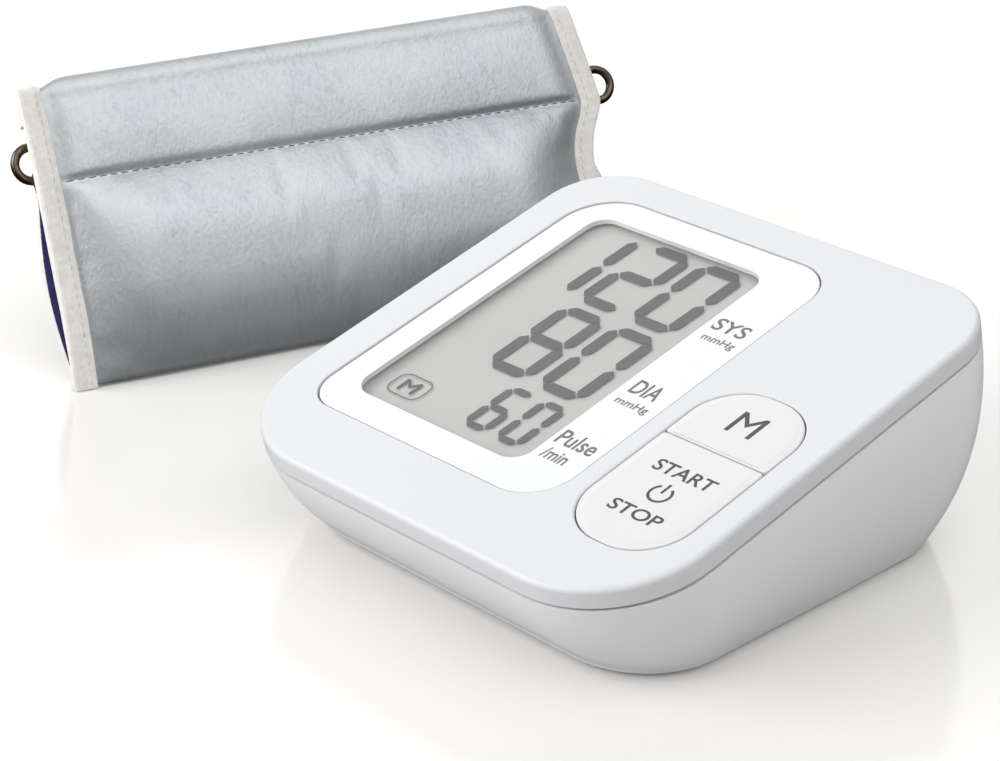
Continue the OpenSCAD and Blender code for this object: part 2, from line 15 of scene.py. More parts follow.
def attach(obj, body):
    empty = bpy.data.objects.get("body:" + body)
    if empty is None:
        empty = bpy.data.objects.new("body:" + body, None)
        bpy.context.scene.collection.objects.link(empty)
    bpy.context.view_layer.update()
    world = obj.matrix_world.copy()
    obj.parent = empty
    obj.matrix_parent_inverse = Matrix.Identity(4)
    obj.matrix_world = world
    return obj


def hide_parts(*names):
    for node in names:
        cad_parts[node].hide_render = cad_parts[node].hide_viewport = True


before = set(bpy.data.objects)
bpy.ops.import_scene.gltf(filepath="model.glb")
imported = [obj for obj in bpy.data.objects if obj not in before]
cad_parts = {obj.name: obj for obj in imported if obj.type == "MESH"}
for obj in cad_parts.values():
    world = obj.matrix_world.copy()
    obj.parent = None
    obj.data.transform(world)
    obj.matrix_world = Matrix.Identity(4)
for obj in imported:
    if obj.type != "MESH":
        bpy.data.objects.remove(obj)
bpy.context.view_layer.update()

MM = 0.001

# ---------------- driving dimensions
# The front plate: u across, v up the slope, w outward.
TILT = 13.8
PLATE_Y, PLATE_Z = -65, 25.2
PLATE_W, PLATE_L = 120, 121
NEAR_R, FAR_R = 26, 17
RIM = 4.8
SEAM = 0.6
WALL = 2.2
PLATE_T = 2.2
FOOT_H = 0.8
FLOOR_TOP = FOOT_H + 2.2

# The cuff: x along the arm, s up the lean, n behind its front face.
CUFF_X, CUFF_Y = -133, -48.5
CUFF_TURN, LEAN = 72, 26
LEAN_SIN, LEAN_COS = sin(radians(LEAN)), cos(radians(LEAN))
CUFF_W, CUFF_H = 148, 74.5
TAPE_W, TAPE_T = 5.8, 0.75
BAND_T = 3.2
BAND_REAR = 6.8
BEND_S = CUFF_H - BAND_REAR / 2
SEAM_S = 51.5
FLAP_S, FLAP_N, FLAP_T = 66, 8.4, 2.4
FLAP_X0, FLAP_W = 34, 84

PLATE = Matrix.Translation((0, PLATE_Y, PLATE_Z)) @ Matrix.Rotation(radians(TILT), 4, "X")
CUFF = Matrix.Translation((CUFF_X, CUFF_Y, 0)) @ Matrix.Rotation(radians(CUFF_TURN), 4, "Z")


# ---------------- shapes
class Shape(namedtuple("Shape", "x0 x1 y0 y1 radii")):
    """A rounded rectangle; radii run near left, near right, far right, far left."""

    def grow(self, d):
        radii = tuple(max(r + d, 0.05) for r in self.radii)
        return Shape(self.x0 - d, self.x1 + d, self.y0 - d, self.y1 + d, radii)

    def points(self, z, steps=14):
        """Its outline at height z, counter-clockwise, with the same count for every shape."""
        found = []
        for i, r in enumerate(self.radii):
            cx = self.x0 + r if i in (0, 3) else self.x1 - r
            cy = self.y0 + r if i in (0, 1) else self.y1 - r
            for k in range(steps + 1):
                a = radians(180 + 90 * i + 90 * k / steps)
                found.append(Vector((cx + r * cos(a), cy + r * sin(a), z)))
        return found


def circle(x, y, r, z, steps=48):
    turn = [2 * pi * k / steps for k in range(steps)]
    return [Vector((x + r * cos(a), y + r * sin(a), z)) for a in turn]


def smoothstep(t):
    t = min(max(t, 0), 1)
    return t * t * (3 - 2 * t)


def mix(a, b, t):
    return a + (b - a) * t


def placed(name, data):
    """A new object in the scene."""
    obj = bpy.data.objects.new(name, data)
    bpy.context.scene.collection.objects.link(obj)
    return obj


def shown(obj):
    """obj as its modifiers leave it."""
    return obj.evaluated_get(bpy.context.evaluated_depsgraph_get())


class Solid:
    """A mesh under construction, in millimetres, inside a place of its own."""

    def __init__(self, place=None):
        self.bm = bmesh.new()
        self.place = place or Matrix.Identity(4)

    def ring(self, points):
        return [self.bm.verts.new(p) for p in points]

    def bridge(self, a, b, closed=True):
        """Faces between two rings of the same length."""
        count = len(a)
        for i in range(count if closed else count - 1):
            j = (i + 1) % count
            self.bm.faces.new((a[i], a[j], b[j], b[i]))

    def skin(self, rings):
        """Rings of points joined one after another; gives the first and last ring."""
        made = [self.ring(r) for r in rings]
        for a, b in zip(made, made[1:]):
            self.bridge(a, b)
        return made[0], made[-1]

    def cap(self, ring):
        self.bm.faces.new(ring)

    def closed(self, rings):
        """A skin over rings of points, with both of its ends capped."""
        for end in self.skin(rings):
            self.cap(end)

    def cap_band(self, ring):
        """Closes the end of a bent band, whose ring runs up one side of it and back down the other."""
        half = len(ring) // 2
        self.bridge(ring[:half], ring[half:][::-1], closed=False)

    def sheet(self, outer, holes):
        """A flat face inside the outer ring, around the holes."""
        edges = []
        for ring in [outer, *holes]:
            for i, v in enumerate(ring):
                w = ring[(i + 1) % len(ring)]
                edges.append(self.bm.edges.get((v, w)) or self.bm.edges.new((v, w)))
        bmesh.ops.triangle_fill(self.bm, use_beauty=True, edges=edges)

    def lathe(self, profile, steps=48):
        """A turned solid about Z from (radius, height) pairs, closed where the radius is 0."""
        rings = []
        for r, z in profile:
            if r == 0:
                rings.append([self.bm.verts.new((0, 0, z))])
            else:
                rings.append(self.ring(circle(0, 0, r, z, steps)))
        for a, b in zip(rings, rings[1:]):
            if len(a) == 1 and len(b) == 1:
                continue
            if len(a) == 1 or len(b) == 1:
                tip, ring = (a[0], b) if len(a) == 1 else (b[0], a)
                for i, v in enumerate(ring):
                    self.bm.faces.new((tip, v, ring[(i + 1) % len(ring)]))
            else:
                self.bridge(a, b)
        return self

    def tube(self, path, radius, steps=10, closed=False):
        """A round tube along points, with rounded ends when it is open."""
        count = len(path)
        rings = []
        for i, p in enumerate(path):
            before = path[(i - 1) % count] if closed or i else path[0]
            after = path[(i + 1) % count] if closed or i < count - 1 else path[-1]
            along = (after - before).normalized()
            side = along.cross(Vector((0, 0, 1)))
            if side.length < 1e-3:
                side = along.cross(Vector((0, 1, 0)))
            side.normalize()
            up = side.cross(along)
            turn = [2 * pi * k / steps for k in range(steps)]
            rings.append(self.ring([p + (side * cos(a) + up * sin(a)) * radius for a in turn]))
        for a, b in zip(rings, rings[1:]):
            self.bridge(a, b)
        if closed:
            self.bridge(rings[-1], rings[0])
        else:
            self.cap(rings[0])
            self.cap(rings[-1])

    def piece(self, name, material, body, replaces=None, angle=32, flat=False):
        """Ends the building: an object in metres that rides on a body."""
        bmesh.ops.recalc_face_normals(self.bm, faces=self.bm.faces[:])
        self.bm.transform(Matrix.Scale(MM, 4) @ self.place)
        limit = radians(angle)
        for f in self.bm.faces:
            f.smooth = not flat
        for e in self.bm.edges:
            e.smooth = not (len(e.link_faces) == 2 and e.calc_face_angle(0) > limit)
        mesh = bpy.data.meshes.new(name)
        self.bm.to_mesh(mesh)
        self.bm.free()
        mesh.materials.append(material)
        obj = placed(name, mesh)
        if not flat:
            weighted = obj.modifiers.new("weighted normals", "WEIGHTED_NORMAL")
            weighted.keep_sharp = True
        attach(obj, body)
        if replaces:
            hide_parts(replaces)
        return obj


# ---------------- materials
def linear(*rgb):
    """An sRGB colour, 0 to 255, as the shader's linear colour."""
    return tuple(((c / 255 + 0.055) / 1.055) ** 2.4 if c > 10 else c / 255 / 12.92 for c in rgb) + (1,)


def add_node(tree, kind, **inputs):
    """A new node, each of whose inputs is set to a value or joined to a socket."""
    made = tree.nodes.new("ShaderNode" + kind)
    for key, value in inputs.items():
        socket = made.inputs[key.replace("_", " ")]
        if isinstance(value, bpy.types.NodeSocket):
            tree.links.new(value, socket)
        else:
            socket.default_value = value
    return made


class Finish:
    """A procedural material: one Principled shader, with helpers for its colour and bump."""

    def __init__(self, name, colour, roughness, **constants):
        self.material = bpy.data.materials.new(name)
        self.material.use_nodes = True
        self.tree = self.material.node_tree
        self.shader = self.tree.nodes["Principled BSDF"]
        self.colour = linear(*colour)
        for key, value in dict(base_color=self.colour, roughness=roughness, **constants).items():
            socket = key.replace("_", " ").title().replace("Ior", "IOR")
            self.shader.inputs[socket].default_value = value
        self.height = None
        self.position = self.node("TexCoord").outputs["Object"]

    def node(self, kind, **inputs):
        return add_node(self.tree, kind, **inputs)

    def stretched(self, scale, turn=(0, 0, 0)):
        """Positions turned and stretched, for a grain that runs one way."""
        turned = self.node("Mapping", Vector=self.position, Rotation=turn)
        return self.node("Mapping", Vector=turned.outputs["Vector"], Scale=scale).outputs["Vector"]

    def noise(self, per_mm, detail=3.0, vector=None, distortion=0.0):
        where = vector or self.position
        made = self.node("TexNoise", Vector=where, Scale=per_mm / MM, Detail=detail, Distortion=distortion)
        return made.outputs["Fac"]

    def ramp(self, value, low, high):
        return self.node("MapRange", Value=value, From_Min=low, From_Max=high).outputs["Result"]

    def tint(self, value, other, low=0.35, high=0.65):
        """Blends the base colour towards another where value runs from low to high."""
        blend = self.tree.nodes.new("ShaderNodeMix")
        blend.data_type = "RGBA"
        self.tree.links.new(self.ramp(value, low, high), blend.inputs["Factor"])
        current = self.shader.inputs["Base Color"]
        if current.is_linked:
            self.tree.links.new(current.links[0].from_socket, blend.inputs["A"])
        else:
            blend.inputs["A"].default_value = self.colour
        blend.inputs["B"].default_value = linear(*other)
        self.tree.links.new(blend.outputs["Result"], current)

    def rough(self, value, low, high):
        """Lets the roughness wander between two values."""
        made = self.node("MapRange", Value=value, To_Min=low, To_Max=high)
        self.tree.links.new(made.outputs["Result"], self.shader.inputs["Roughness"])

    def bump(self, value, depth):
        """Adds relief of this depth, in millimetres."""
        made = self.node("Bump", Height=value, Distance=depth * MM)
        if self.height is not None:
            self.tree.links.new(self.height.outputs["Normal"], made.inputs["Normal"])
        self.height = made
        self.tree.links.new(made.outputs["Normal"], self.shader.inputs["Normal"])


def plain(name, colour, roughness, tint=None, rough=None, relief=None, **more):
    """A finish whose colour, roughness and relief wander with noise.

    tint, rough and relief each start with their noise's (per mm, detail) and end with what it drives."""
    made = Finish(name, colour, roughness, **more)
    for change, values in ((made.tint, tint), (made.rough, rough), (made.bump, relief)):
        if values:
            change(made.noise(*values[:2]), *values[2:])
    return made.material


def moulded(name, colour, shade, roughness=0.42, grain=0.006, **more):
    """Moulded plastic: a fine spark-eroded grain and a slow drift of tone."""
    tint = (0.012, 2, shade, 0.3, 0.75)
    rough = (0.35, 2, roughness - 0.05, roughness + 0.06)
    return plain(name, colour, roughness, tint, rough, (5.5, 2, grain), **more)


def metal(name, colour, shade, roughness):
    rough = (1.5, 3, roughness - 0.08, roughness + 0.12)
    return plain(name, colour, roughness, (0.6, 4, shade, 0.35, 0.7), rough, (3, 2, 0.004), metallic=1.0)


def ink(name, colour):
    lighter = tuple(c + 14 for c in colour)
    return plain(name, colour, 0.5, (1.2, 2, lighter, 0.4, 0.8), None, (4, 2, 0.002))


def woven(name, colour, shade, pitch, depth, roughness=0.85, **more):
    """Plain-woven cloth: two crossed sets of ribs with slubs in the yarn."""
    made = Finish(name, colour, roughness, **more)
    slub = made.noise(0.5, 3)
    ribs = []
    for turn in ((0, 0, radians(CUFF_TURN)), (0, radians(90 - LEAN), radians(CUFF_TURN))):
        along = made.stretched((1, 1, 1), turn)
        wave = made.node("TexWave", Vector=along, Scale=0.3 / (pitch * MM), Distortion=0.6, Detail=1)
        ribs.append(wave.outputs["Fac"])
    made.tint(slub, shade, 0.3, 0.8)
    for rib in ribs:
        made.bump(rib, depth)
    made.bump(slub, depth * 1.5)
    return made.material


# The upper case is the same white plastic as the base. Its colour is set darker as painted shade, to hold
# down the brightly lit top plate.
PLASTIC_TOP_SHADED = moulded("white_plastic_shaded", (207, 208, 210), (203, 204, 207), 0.40, specular_ior_level=0.4)
PLASTIC_BASE = moulded("base_plastic", (221, 222, 223), (217, 218, 220), 0.46, 0.009, specular_ior_level=0.4)
PLASTIC_KEY = moulded("key_plastic", (211, 211, 211), (208, 208, 208), 0.36, 0.003, specular_ior_level=0.4)
PANEL_WHITE = moulded("panel_print", (221, 221, 222), (218, 219, 220), 0.22, grain=0.0008)
RUBBER = moulded("rubber", (62, 62, 64), (50, 50, 52), 0.8, grain=0.02)


def coated_cloth():
    """Nylon with a soft grey coating: fine upright wrinkles, a pebble grain and a little sheen."""
    made = Finish("coated_nylon", (184, 189, 192), 0.44, metallic=0.76)
    upright = made.stretched((1, 1, 0.32), (0, 0, 0))
    creases = made.noise(0.55, 4, upright, 1.6)
    pebbles = made.node("TexVoronoi", Vector=made.stretched((1, 1, 0.7)), Scale=1.1 / MM)
    made.tint(creases, (170, 175, 179), 0.45, 0.75)
    made.tint(made.noise(0.05, 2), (192, 196, 198), 0.4, 0.7)
    made.bump(creases, 0.07)
    made.bump(pebbles.outputs["Distance"], 0.035)
    made.bump(made.noise(3.2, 2), 0.02)
    made.rough(creases, 0.42, 0.5)
    return made.material


LCD_TINT, LCD_COAT = (0.02, 2, (157, 158, 156), 0.3, 0.7), dict(coat_weight=0.35, coat_roughness=0.08)
LCD = plain("lcd_polariser", (166, 167, 164), 0.33, LCD_TINT, None, (9, 1, 0.001), **LCD_COAT)
SEGMENT = plain("lcd_segment", (38, 39, 38), 0.5, (0.4, 2, (48, 49, 48)))
CLEAR = plain("clear_window", (255, 255, 255), 0.04, None, (0.1, 2, 0.03, 0.06), alpha=0.05, ior=1.49)
INK_DARK = ink("ink_dark", (66, 66, 66))
INK_GREY = ink("ink_grey", (100, 101, 102))
CLOTH = coated_cloth()
TAPE = woven("binding_tape", (224, 222, 217), (207, 204, 198), 0.55, 0.035)
NAVY = woven("navy_lining", (38, 36, 104), (28, 27, 84), 0.45, 0.03, sheen_weight=0.3)
HOOK = woven("hook_pad", (34, 34, 62), (24, 24, 48), 1.1, 0.12)
THREAD_GREY = woven("grey_thread", (112, 115, 121), (94, 97, 103), 0.2, 0.02)
THREAD_CREAM = woven("cream_thread", (212, 207, 196), (188, 182, 170), 0.2, 0.02)
RING_METAL = metal("ring_metal", (112, 102, 88), (78, 69, 58), 0.3)
STEEL = metal("plated_steel", (196, 197, 200), (172, 173, 177), 0.28)

# ---------------- camera, floor and light
CAMERA_AT = (354.67, -376.2, 273.65)
CAMERA_AZIMUTH, CAMERA_ELEVATION = 46.27, 24.92
CAMERA_LENS = 96.66
FLOOR_SIZE = 12.0
WORLD, OVER, FRONT, BACK = 0.42, 11, 20, 9
OVER_AT = (0.6, 0.0, 1.15)


def make_camera():
    data = bpy.data.cameras.new("camera")
    data.lens, data.sensor_width, data.sensor_fit = CAMERA_LENS, 36, "HORIZONTAL"
    data.clip_start = 0.01
    data.clip_end = 50
    camera = placed("camera", data)
    turn = Matrix.Rotation(radians(CAMERA_AZIMUTH), 4, "Z")
    tip = Matrix.Rotation(radians(90 - CAMERA_ELEVATION), 4, "X")
    camera.matrix_world = Matrix.Translation(Vector(CAMERA_AT) * MM) @ turn @ tip
    bpy.context.scene.camera = camera


def make_floor():
    finish = Finish("floor_white", (222, 221, 219), 0.14, specular_ior_level=0.8, emission_strength=0.05)
    finish.shader.inputs["Emission Color"].default_value = (1, 1, 1, 1)
    finish.tint(finish.noise(0.002, 2), (220, 218, 216))
    # Away from the object the floor glows a little, so that it stays pale where the lights don't reach.
    far = finish.node("VectorMath", Vector=finish.position)
    far.operation = "LENGTH"
    reach = dict(From_Min=0.35, From_Max=1.6, To_Min=0.05, To_Max=0.75)
    glow = finish.node("MapRange", Value=far.outputs["Value"], **reach)
    glow.interpolation_type = "SMOOTHSTEP"
    finish.tree.links.new(glow.outputs["Result"], finish.shader.inputs["Emission Strength"])
    mesh = bpy.data.meshes.new("floor")
    half = FLOOR_SIZE / 2
    corners = [(-half, -half, 0), (half, -half, 0), (half, half, 0), (-half, half, 0)]
    mesh.from_pydata(corners, [], [(0, 1, 2, 3)])
    mesh.materials.append(finish.material)
    floor = placed("floor", mesh)
    floor.visible_glossy = False


def area_light(name, at, target, size, power):
    data = bpy.data.lights.new(name, "AREA")
    data.shape = "RECTANGLE"
    data.size, data.size_y = size
    data.energy = power
    light = placed(name, data)
    light.location = Vector(at)
    light.rotation_euler = (Vector(target) - Vector(at)).to_track_quat("-Z", "Y").to_euler()


def make_light():
    world = bpy.data.worlds.new("studio")
    world.use_nodes = True
    background = world.node_tree.nodes["Background"]
    background.inputs["Strength"].default_value = WORLD
    # Bright from the horizon up, dark below it.
    tree = world.node_tree
    facing = add_node(tree, "TexCoord").outputs["Generated"]
    height = add_node(tree, "SeparateXYZ", Vector=facing).outputs["Z"]
    ramp = add_node(tree, "MapRange", Value=height, From_Min=-0.02, From_Max=0.32, To_Min=0.05)
    tree.links.new(ramp.outputs["Result"], background.inputs["Color"])
    bpy.context.scene.world = world
    bpy.context.scene.view_settings.view_transform = "Standard"
    middle = (-0.03, 0, 0.03)
    area_light("overhead", OVER_AT, middle, (1.5, 1.5), OVER)
    area_light("backdrop", (-1.0, 1.05, 0.75), middle, (2.4, 1.1), BACK)
    area_light("front_left", (-0.7, -1.1, 0.75), middle, (1.2, 0.9), FRONT)


make_camera()
make_floor()
make_light()

# ---------------- the case
PLATE_SHAPE = Shape(-PLATE_W / 2, PLATE_W / 2, 0, PLATE_L, (NEAR_R, NEAR_R, FAR_R, FAR_R))
PANEL_SHAPE = Shape(-49.5, 21.5, 18, 111, (8, 11, 10, 13))
WINDOW_SHAPE = Shape(-42.5, 8, 25.6, 103.6, (5, 5, 5, 5))
CAVITY_SHAPE = WINDOW_SHAPE.grow(1.6)
KEYS_SHAPE = Shape(26.7, 53.3, 16.6, 69.6, (12, 12, 12, 12))
KEY_SPLIT = 49.8
PANEL_TOP = -0.3
EDGE_R = 1.3


def rounded_edge(shape, r, z, down=-1, steps=6):
    """Rings that roll over the edge of a shape's flat face at height z."""
    made = []
    for k in range(steps + 1):
        a = radians(90 * k / steps)
        made.append(shape.grow(-r * (1 - sin(a))).points(z + down * r * (1 - cos(a))))
    return made


def hole_edge(shape, r, z):
    """Rings that roll down into a hole in the flat face at height z."""
    return rounded_edge(shape, -r, z, 1, 4)


def make_upper_case():
    solid = Solid(PLATE)
    p = PLATE_SHAPE
    under = -PLATE_T
    skirt = -RIM - 2.2
    outside = rounded_edge(p, EDGE_R, 0) + [
        p.points(-RIM + 0.3),
        p.grow(-0.09).points(-RIM + 0.09),
        p.grow(-0.3).points(-RIM),
        p.grow(-WALL - 0.2).points(-RIM),
        p.grow(-WALL - 0.2).points(skirt),
        p.grow(-WALL - 1.4).points(skirt),
        p.grow(-WALL - 1.4).points(under),
    ]
    top, bottom = solid.skin(outside)
    recess = hole_edge(PANEL_SHAPE.grow(0.4), 0.3, 0) + [
        PANEL_SHAPE.grow(0.4).points(-1.5),
        CAVITY_SHAPE.points(-1.5),
        CAVITY_SHAPE.points(under),
    ]
    panel_top, panel_bottom = solid.skin(recess)
    keys = hole_edge(KEYS_SHAPE.grow(0.3), 0.45, 0) + [KEYS_SHAPE.grow(0.3).points(under)]
    key_top, key_bottom = solid.skin(keys)
    solid.sheet(top, [panel_top, key_top])
    solid.sheet(bottom, [panel_bottom, key_bottom])
    return solid.piece("upper_case_shell", PLASTIC_TOP_SHADED, "unit", "upper_case")


MID_SHAPE = Shape(-57.6, 57.6, -57.2, 51.4, (24, 24, 19, 19))
BASE_SHAPE = Shape(-54.5, 54.5, -50, 50, (20, 20, 20, 20))
MID_Z = 9
BASE_ROUND = 0.9


def side_rings(inset, top, bottom_z, levels=16):
    """The case's side from the rim down, curved through its rim, middle and base outlines."""
    rim = [PLATE @ p for p in PLATE_SHAPE.grow(-inset).points(top)]
    middle = MID_SHAPE.grow(-inset).points(MID_Z)
    base = BASE_SHAPE.grow(-inset).points(bottom_z)
    rings = [[] for _ in range(levels + 1)]
    for a, b, c in zip(rim, middle, base):
        upper, lower = (b - a).length, (c - b).length
        t1 = upper / (upper + lower)
        for i, ring in enumerate(rings):
            t = i / levels
            ring.append(
                a * ((t - t1) * (t - 1) / t1)
                + b * (t * (t - 1) / (t1 * (t1 - 1)))
                + c * (t * (t - t1) / (1 - t1))
            )
    return rings


def cut(obj, cutter):
    """Cuts one object out of another and keeps the result as its mesh."""
    boolean = obj.modifiers.new("cut", "BOOLEAN")
    boolean.object, boolean.operation, boolean.solver = cutter, "DIFFERENCE", "EXACT"
    obj.modifiers.move(len(obj.modifiers) - 1, 0)
    shading = obj.modifiers.get("weighted normals")
    shading.show_viewport = False
    bpy.context.view_layer.update()
    cut_mesh = bpy.data.meshes.new_from_object(shown(obj))
    obj.modifiers.remove(boolean)
    shading.show_viewport = True
    obj.data = cut_mesh
    bpy.data.objects.remove(cutter)


BAY = Shape(-46.5, 14.5, -26, 30, (0.4,) * 4)
BAY_TOP = 18.6
COVER_RECESS = Shape(BAY.x0 - 1.6, BAY.x1 + 1.6, BAY.y0 - 1.6, BAY.y1 + 7.6, (1.2,) * 4)
FEET = {"front_left": (-40, -36), "front_right": (40, -36)}
FEET |= {"back_left": (-20, 44.5), "back_right": (20, 44.5)}
BOSSES = [[-22, -43.5], [22, -43.5], [-37, 42], [37, 42]]
SOCKET_AT = (-58.5, -35, 10.5)
SOCKET_HOLE = 6.05


def make_lower_case():
    solid = Solid()
    outer = side_rings(0, -RIM - SEAM, FOOT_H + BASE_ROUND)
    rounding = [
        BASE_SHAPE.grow(-BASE_ROUND * (1 - cos(a))).points(FOOT_H + BASE_ROUND * (1 - sin(a)))
        for a in (radians(k) for k in (22, 45, 68, 90))
    ]
    outer_top, outer_bottom = solid.skin(outer + rounding)
    inner_top, inner_bottom = solid.skin(side_rings(WALL, -RIM - SEAM, FLOOR_TOP))
    solid.bridge(outer_top, inner_top)
    holes_out, holes_in = [], []
    bay = [COVER_RECESS.points(FOOT_H), COVER_RECESS.points(2.7), BAY.points(2.7), BAY.points(BAY_TOP)]
    recess, bay_top = solid.skin(bay)
    solid.cap(bay_top)
    holes_out.append(recess)
    box_bottom, box_top = solid.skin([BAY.grow(1.8).points(FLOOR_TOP), BAY.grow(1.8).points(BAY_TOP + 1.8)])
    solid.cap(box_top)
    holes_in.append(box_bottom)
    for x, y in FEET.values():
        ring, end = solid.skin([circle(x, y, 4.7, FOOT_H), circle(x, y, 4.7, 1.8)])
        solid.cap(end)
        holes_out.append(ring)
    for x, y in BOSSES:
        profile = [(2.75, FOOT_H), (2.6, FOOT_H + 0.2), (2.6, 7), (1.6, 7), (1.6, 15)]
        profile += [(3.2, 15), (3.2, FLOOR_TOP)]
        ring, end = solid.skin([circle(x, y, r, z) for r, z in profile])
        holes_out.append(ring)
        holes_in.append(end)
    solid.sheet(outer_bottom, holes_out)
    solid.sheet(inner_bottom, holes_in)
    shell = solid.piece("lower_case_shell", PLASTIC_BASE, "unit", "lower_case")
    place = Matrix.Translation(SOCKET_AT) @ Matrix.Rotation(radians(90), 4, "Y")
    drill = Solid(place).lathe([(0, -8), (SOCKET_HOLE, -8), (SOCKET_HOLE, 12), (0, 12)])
    cut(shell, drill.piece("drill", PLASTIC_BASE, "unit", flat=True))
    return shell


make_upper_case()
make_lower_case()

# ---------------- display
DISPLAY_SHELF = -1.45


def make_display_panel():
    """The white printed border; its clear window is a piece of its own."""
    solid = Solid(PLATE)
    outer_top, outer_bottom = solid.skin(
        rounded_edge(PANEL_SHAPE, 0.2, PANEL_TOP, steps=3) + [PANEL_SHAPE.points(DISPLAY_SHELF)]
    )
    inner_top, inner_bottom = solid.skin([WINDOW_SHAPE.points(PANEL_TOP), WINDOW_SHAPE.points(DISPLAY_SHELF)])
    solid.sheet(outer_top, [inner_top])
    solid.sheet(outer_bottom, [inner_bottom])
    solid.piece("display_border", PANEL_WHITE, "unit", "display_panel")
    pane = Solid(PLATE)
    pane.closed(
        rounded_edge(WINDOW_SHAPE.grow(-0.02), 0.05, PANEL_TOP - 0.01, steps=2)
        + [WINDOW_SHAPE.grow(-0.02).points(PANEL_TOP - 0.9)]
    )
    pane.piece("display_window", CLEAR, "unit")


# Seven segments as (column, row) ends of their middle lines, in units of the digit's box.
SEGMENTS = {
    "top": ((0, 2), (1, 2)),
    "middle": ((0, 1), (1, 1)),
    "bottom": ((0, 0), (1, 0)),
    "upper_left": ((0, 1), (0, 2)),
    "lower_left": ((0, 0), (0, 1)),
    "upper_right": ((1, 1), (1, 2)),
    "lower_right": ((1, 0), (1, 1)),
}
DIGITS = {
    "0": ("top", "bottom", "upper_left", "lower_left", "upper_right", "lower_right"),
    "1": ("upper_right", "lower_right"),
    "2": ("top", "upper_right", "middle", "lower_left", "bottom"),
    "6": ("top", "upper_left", "middle", "lower_left", "lower_right", "bottom"),
    "8": tuple(SEGMENTS),
}
LCD_W = -2.4
DIGIT_LIFT = 0.3
DIGIT_T = 0.06


def bar(solid, a, b, t, gap, z):
    """One LCD segment: a bar with mitred ends, clear of its neighbours by gap."""
    along = (b - a).normalized()
    side = Vector((-along.y, along.x))
    a, b, h = a + along * gap, b - along * gap, t / 2
    corners = [a, a + (along + side) * h, b + (side - along) * h]
    corners += [b, b - (along + side) * h, a + (along - side) * h]
    low = solid.ring([Vector((c.x, c.y, z)) for c in corners])
    high = solid.ring([Vector((c.x, c.y, z + DIGIT_T)) for c in corners])
    solid.bridge(low, high)
    solid.cap(low)
    solid.cap(high)


def number(solid, text, right, low, width, height, pitch, t, slant):
    """A right-aligned number of seven-segment digits."""
    for i, digit in enumerate(reversed(text)):
        left = right - width - pitch * i
        for name in DIGITS[digit]:
            ends = [
                Vector((left + width * c + slant * r, low + height * r / 2)) for c, r in SEGMENTS[name]
            ]
            bar(solid, ends[0], ends[1], t, 0.16 + 0.05 * t, LCD_W + DIGIT_LIFT)


def make_digits():
    solid = Solid(PLATE)
    number(solid, "120", 1.0, 78.6, 10.2, 22.9, 15.4, 2.9, 0.25)
    number(solid, "80", 1.0, 50.1, 10.2, 23.3, 15.4, 2.9, 0.1)
    number(solid, "60", 1.5, 31.6, 5.5, 13.8, 9.5, 1.85, 0.15)
    icon = Shape(-38.3, -28.4, 30.3, 37.5, (2.5,) * 4)
    z = LCD_W + DIGIT_LIFT
    outer, inner = (solid.skin([f.points(z), f.points(z + DIGIT_T)]) for f in (icon, icon.grow(-0.27)))
    for a, b in zip(outer, inner):
        solid.bridge(a, b)
    letter(solid, "M", (-35.7, -31.1), (31.9, 35.9), z + 0.01, DIGIT_T, 0)
    solid.piece("lcd_segments", SEGMENT, "unit", flat=True)


def letter(solid, text, across, up, z, thick, weight=0.012):
    """Lettering in Blender's plain font, fitted between two u and two v values."""
    curve = bpy.data.curves.new("lettering", "FONT")
    curve.body = text
    curve.resolution_u = 6
    curve.offset = weight
    holder = placed("lettering", curve)
    bpy.context.view_layer.update()
    outline = bpy.data.meshes.new_from_object(shown(holder))
    bpy.data.objects.remove(holder)
    xs = [v.co.x for v in outline.vertices]
    ys = [v.co.y for v in outline.vertices]
    sx = (across[1] - across[0]) / (max(xs) - min(xs))
    sy = (up[1] - up[0]) / (max(ys) - min(ys))
    part = bmesh.new()
    part.from_mesh(outline)
    for v in part.verts:
        v.co = Vector((across[0] + (v.co.x - min(xs)) * sx, up[0] + (v.co.y - min(ys)) * sy, z))
    bmesh.ops.remove_doubles(part, verts=part.verts[:], dist=1e-4)
    made = bmesh.ops.extrude_face_region(part, geom=part.faces[:])
    for v in made["geom"]:
        if isinstance(v, bmesh.types.BMVert):
            v.co.z += thick
    part.to_mesh(outline)
    part.free()
    solid.bm.from_mesh(outline)
    bpy.data.meshes.remove(outline)


PRINT_T = 0.04
READOUTS = [
    ("SYS", (9.7, 18.7), (82.3, 86.6)),
    ("mmHg", (10.6, 19.4), (77.7, 80.5)),
    ("DIA", (10.4, 17.8), (55.9, 60.6)),
    ("mmHg", (10.4, 19.2), (51.1, 53.9)),
    ("Pulse", (9.2, 19.4), (35.0, 39.6)),
    ("/min", (10.0, 16.6), (29.9, 33.5)),
]


def make_legends():
    solid = Solid(PLATE)
    for text, across, up in READOUTS:
        letter(solid, text, across, up, PANEL_TOP, PRINT_T)
    solid.piece("display_legends", INK_GREY, "unit", flat=True)


make_display_panel()
make_digits()
make_legends()

# ---------------- buttons
KEY_TOP = 0.15
KEY_EDGE = 0.35
POWER_AT = (40.4, 33.6)


def make_key(name, shape, body, node):
    solid = Solid(PLATE)
    flange = shape.grow(1.0)
    split = {"y0": shape.y0 + 0.35} if node == "memory_button" else {"y1": shape.y1 - 0.35}
    face = shape.grow(-1.9)._replace(**split)
    shoulder = shape.grow(-1.5)._replace(**split)
    solid.closed(
        [face.points(KEY_TOP), shoulder.points(KEY_TOP - 0.16)]
        + rounded_edge(shape, KEY_EDGE, KEY_TOP - 0.2, steps=5)
        + [shape.points(-2.35), flange.points(-2.35), flange.points(-3.4)]
    )
    solid.piece(name, PLASTIC_KEY, body, node)


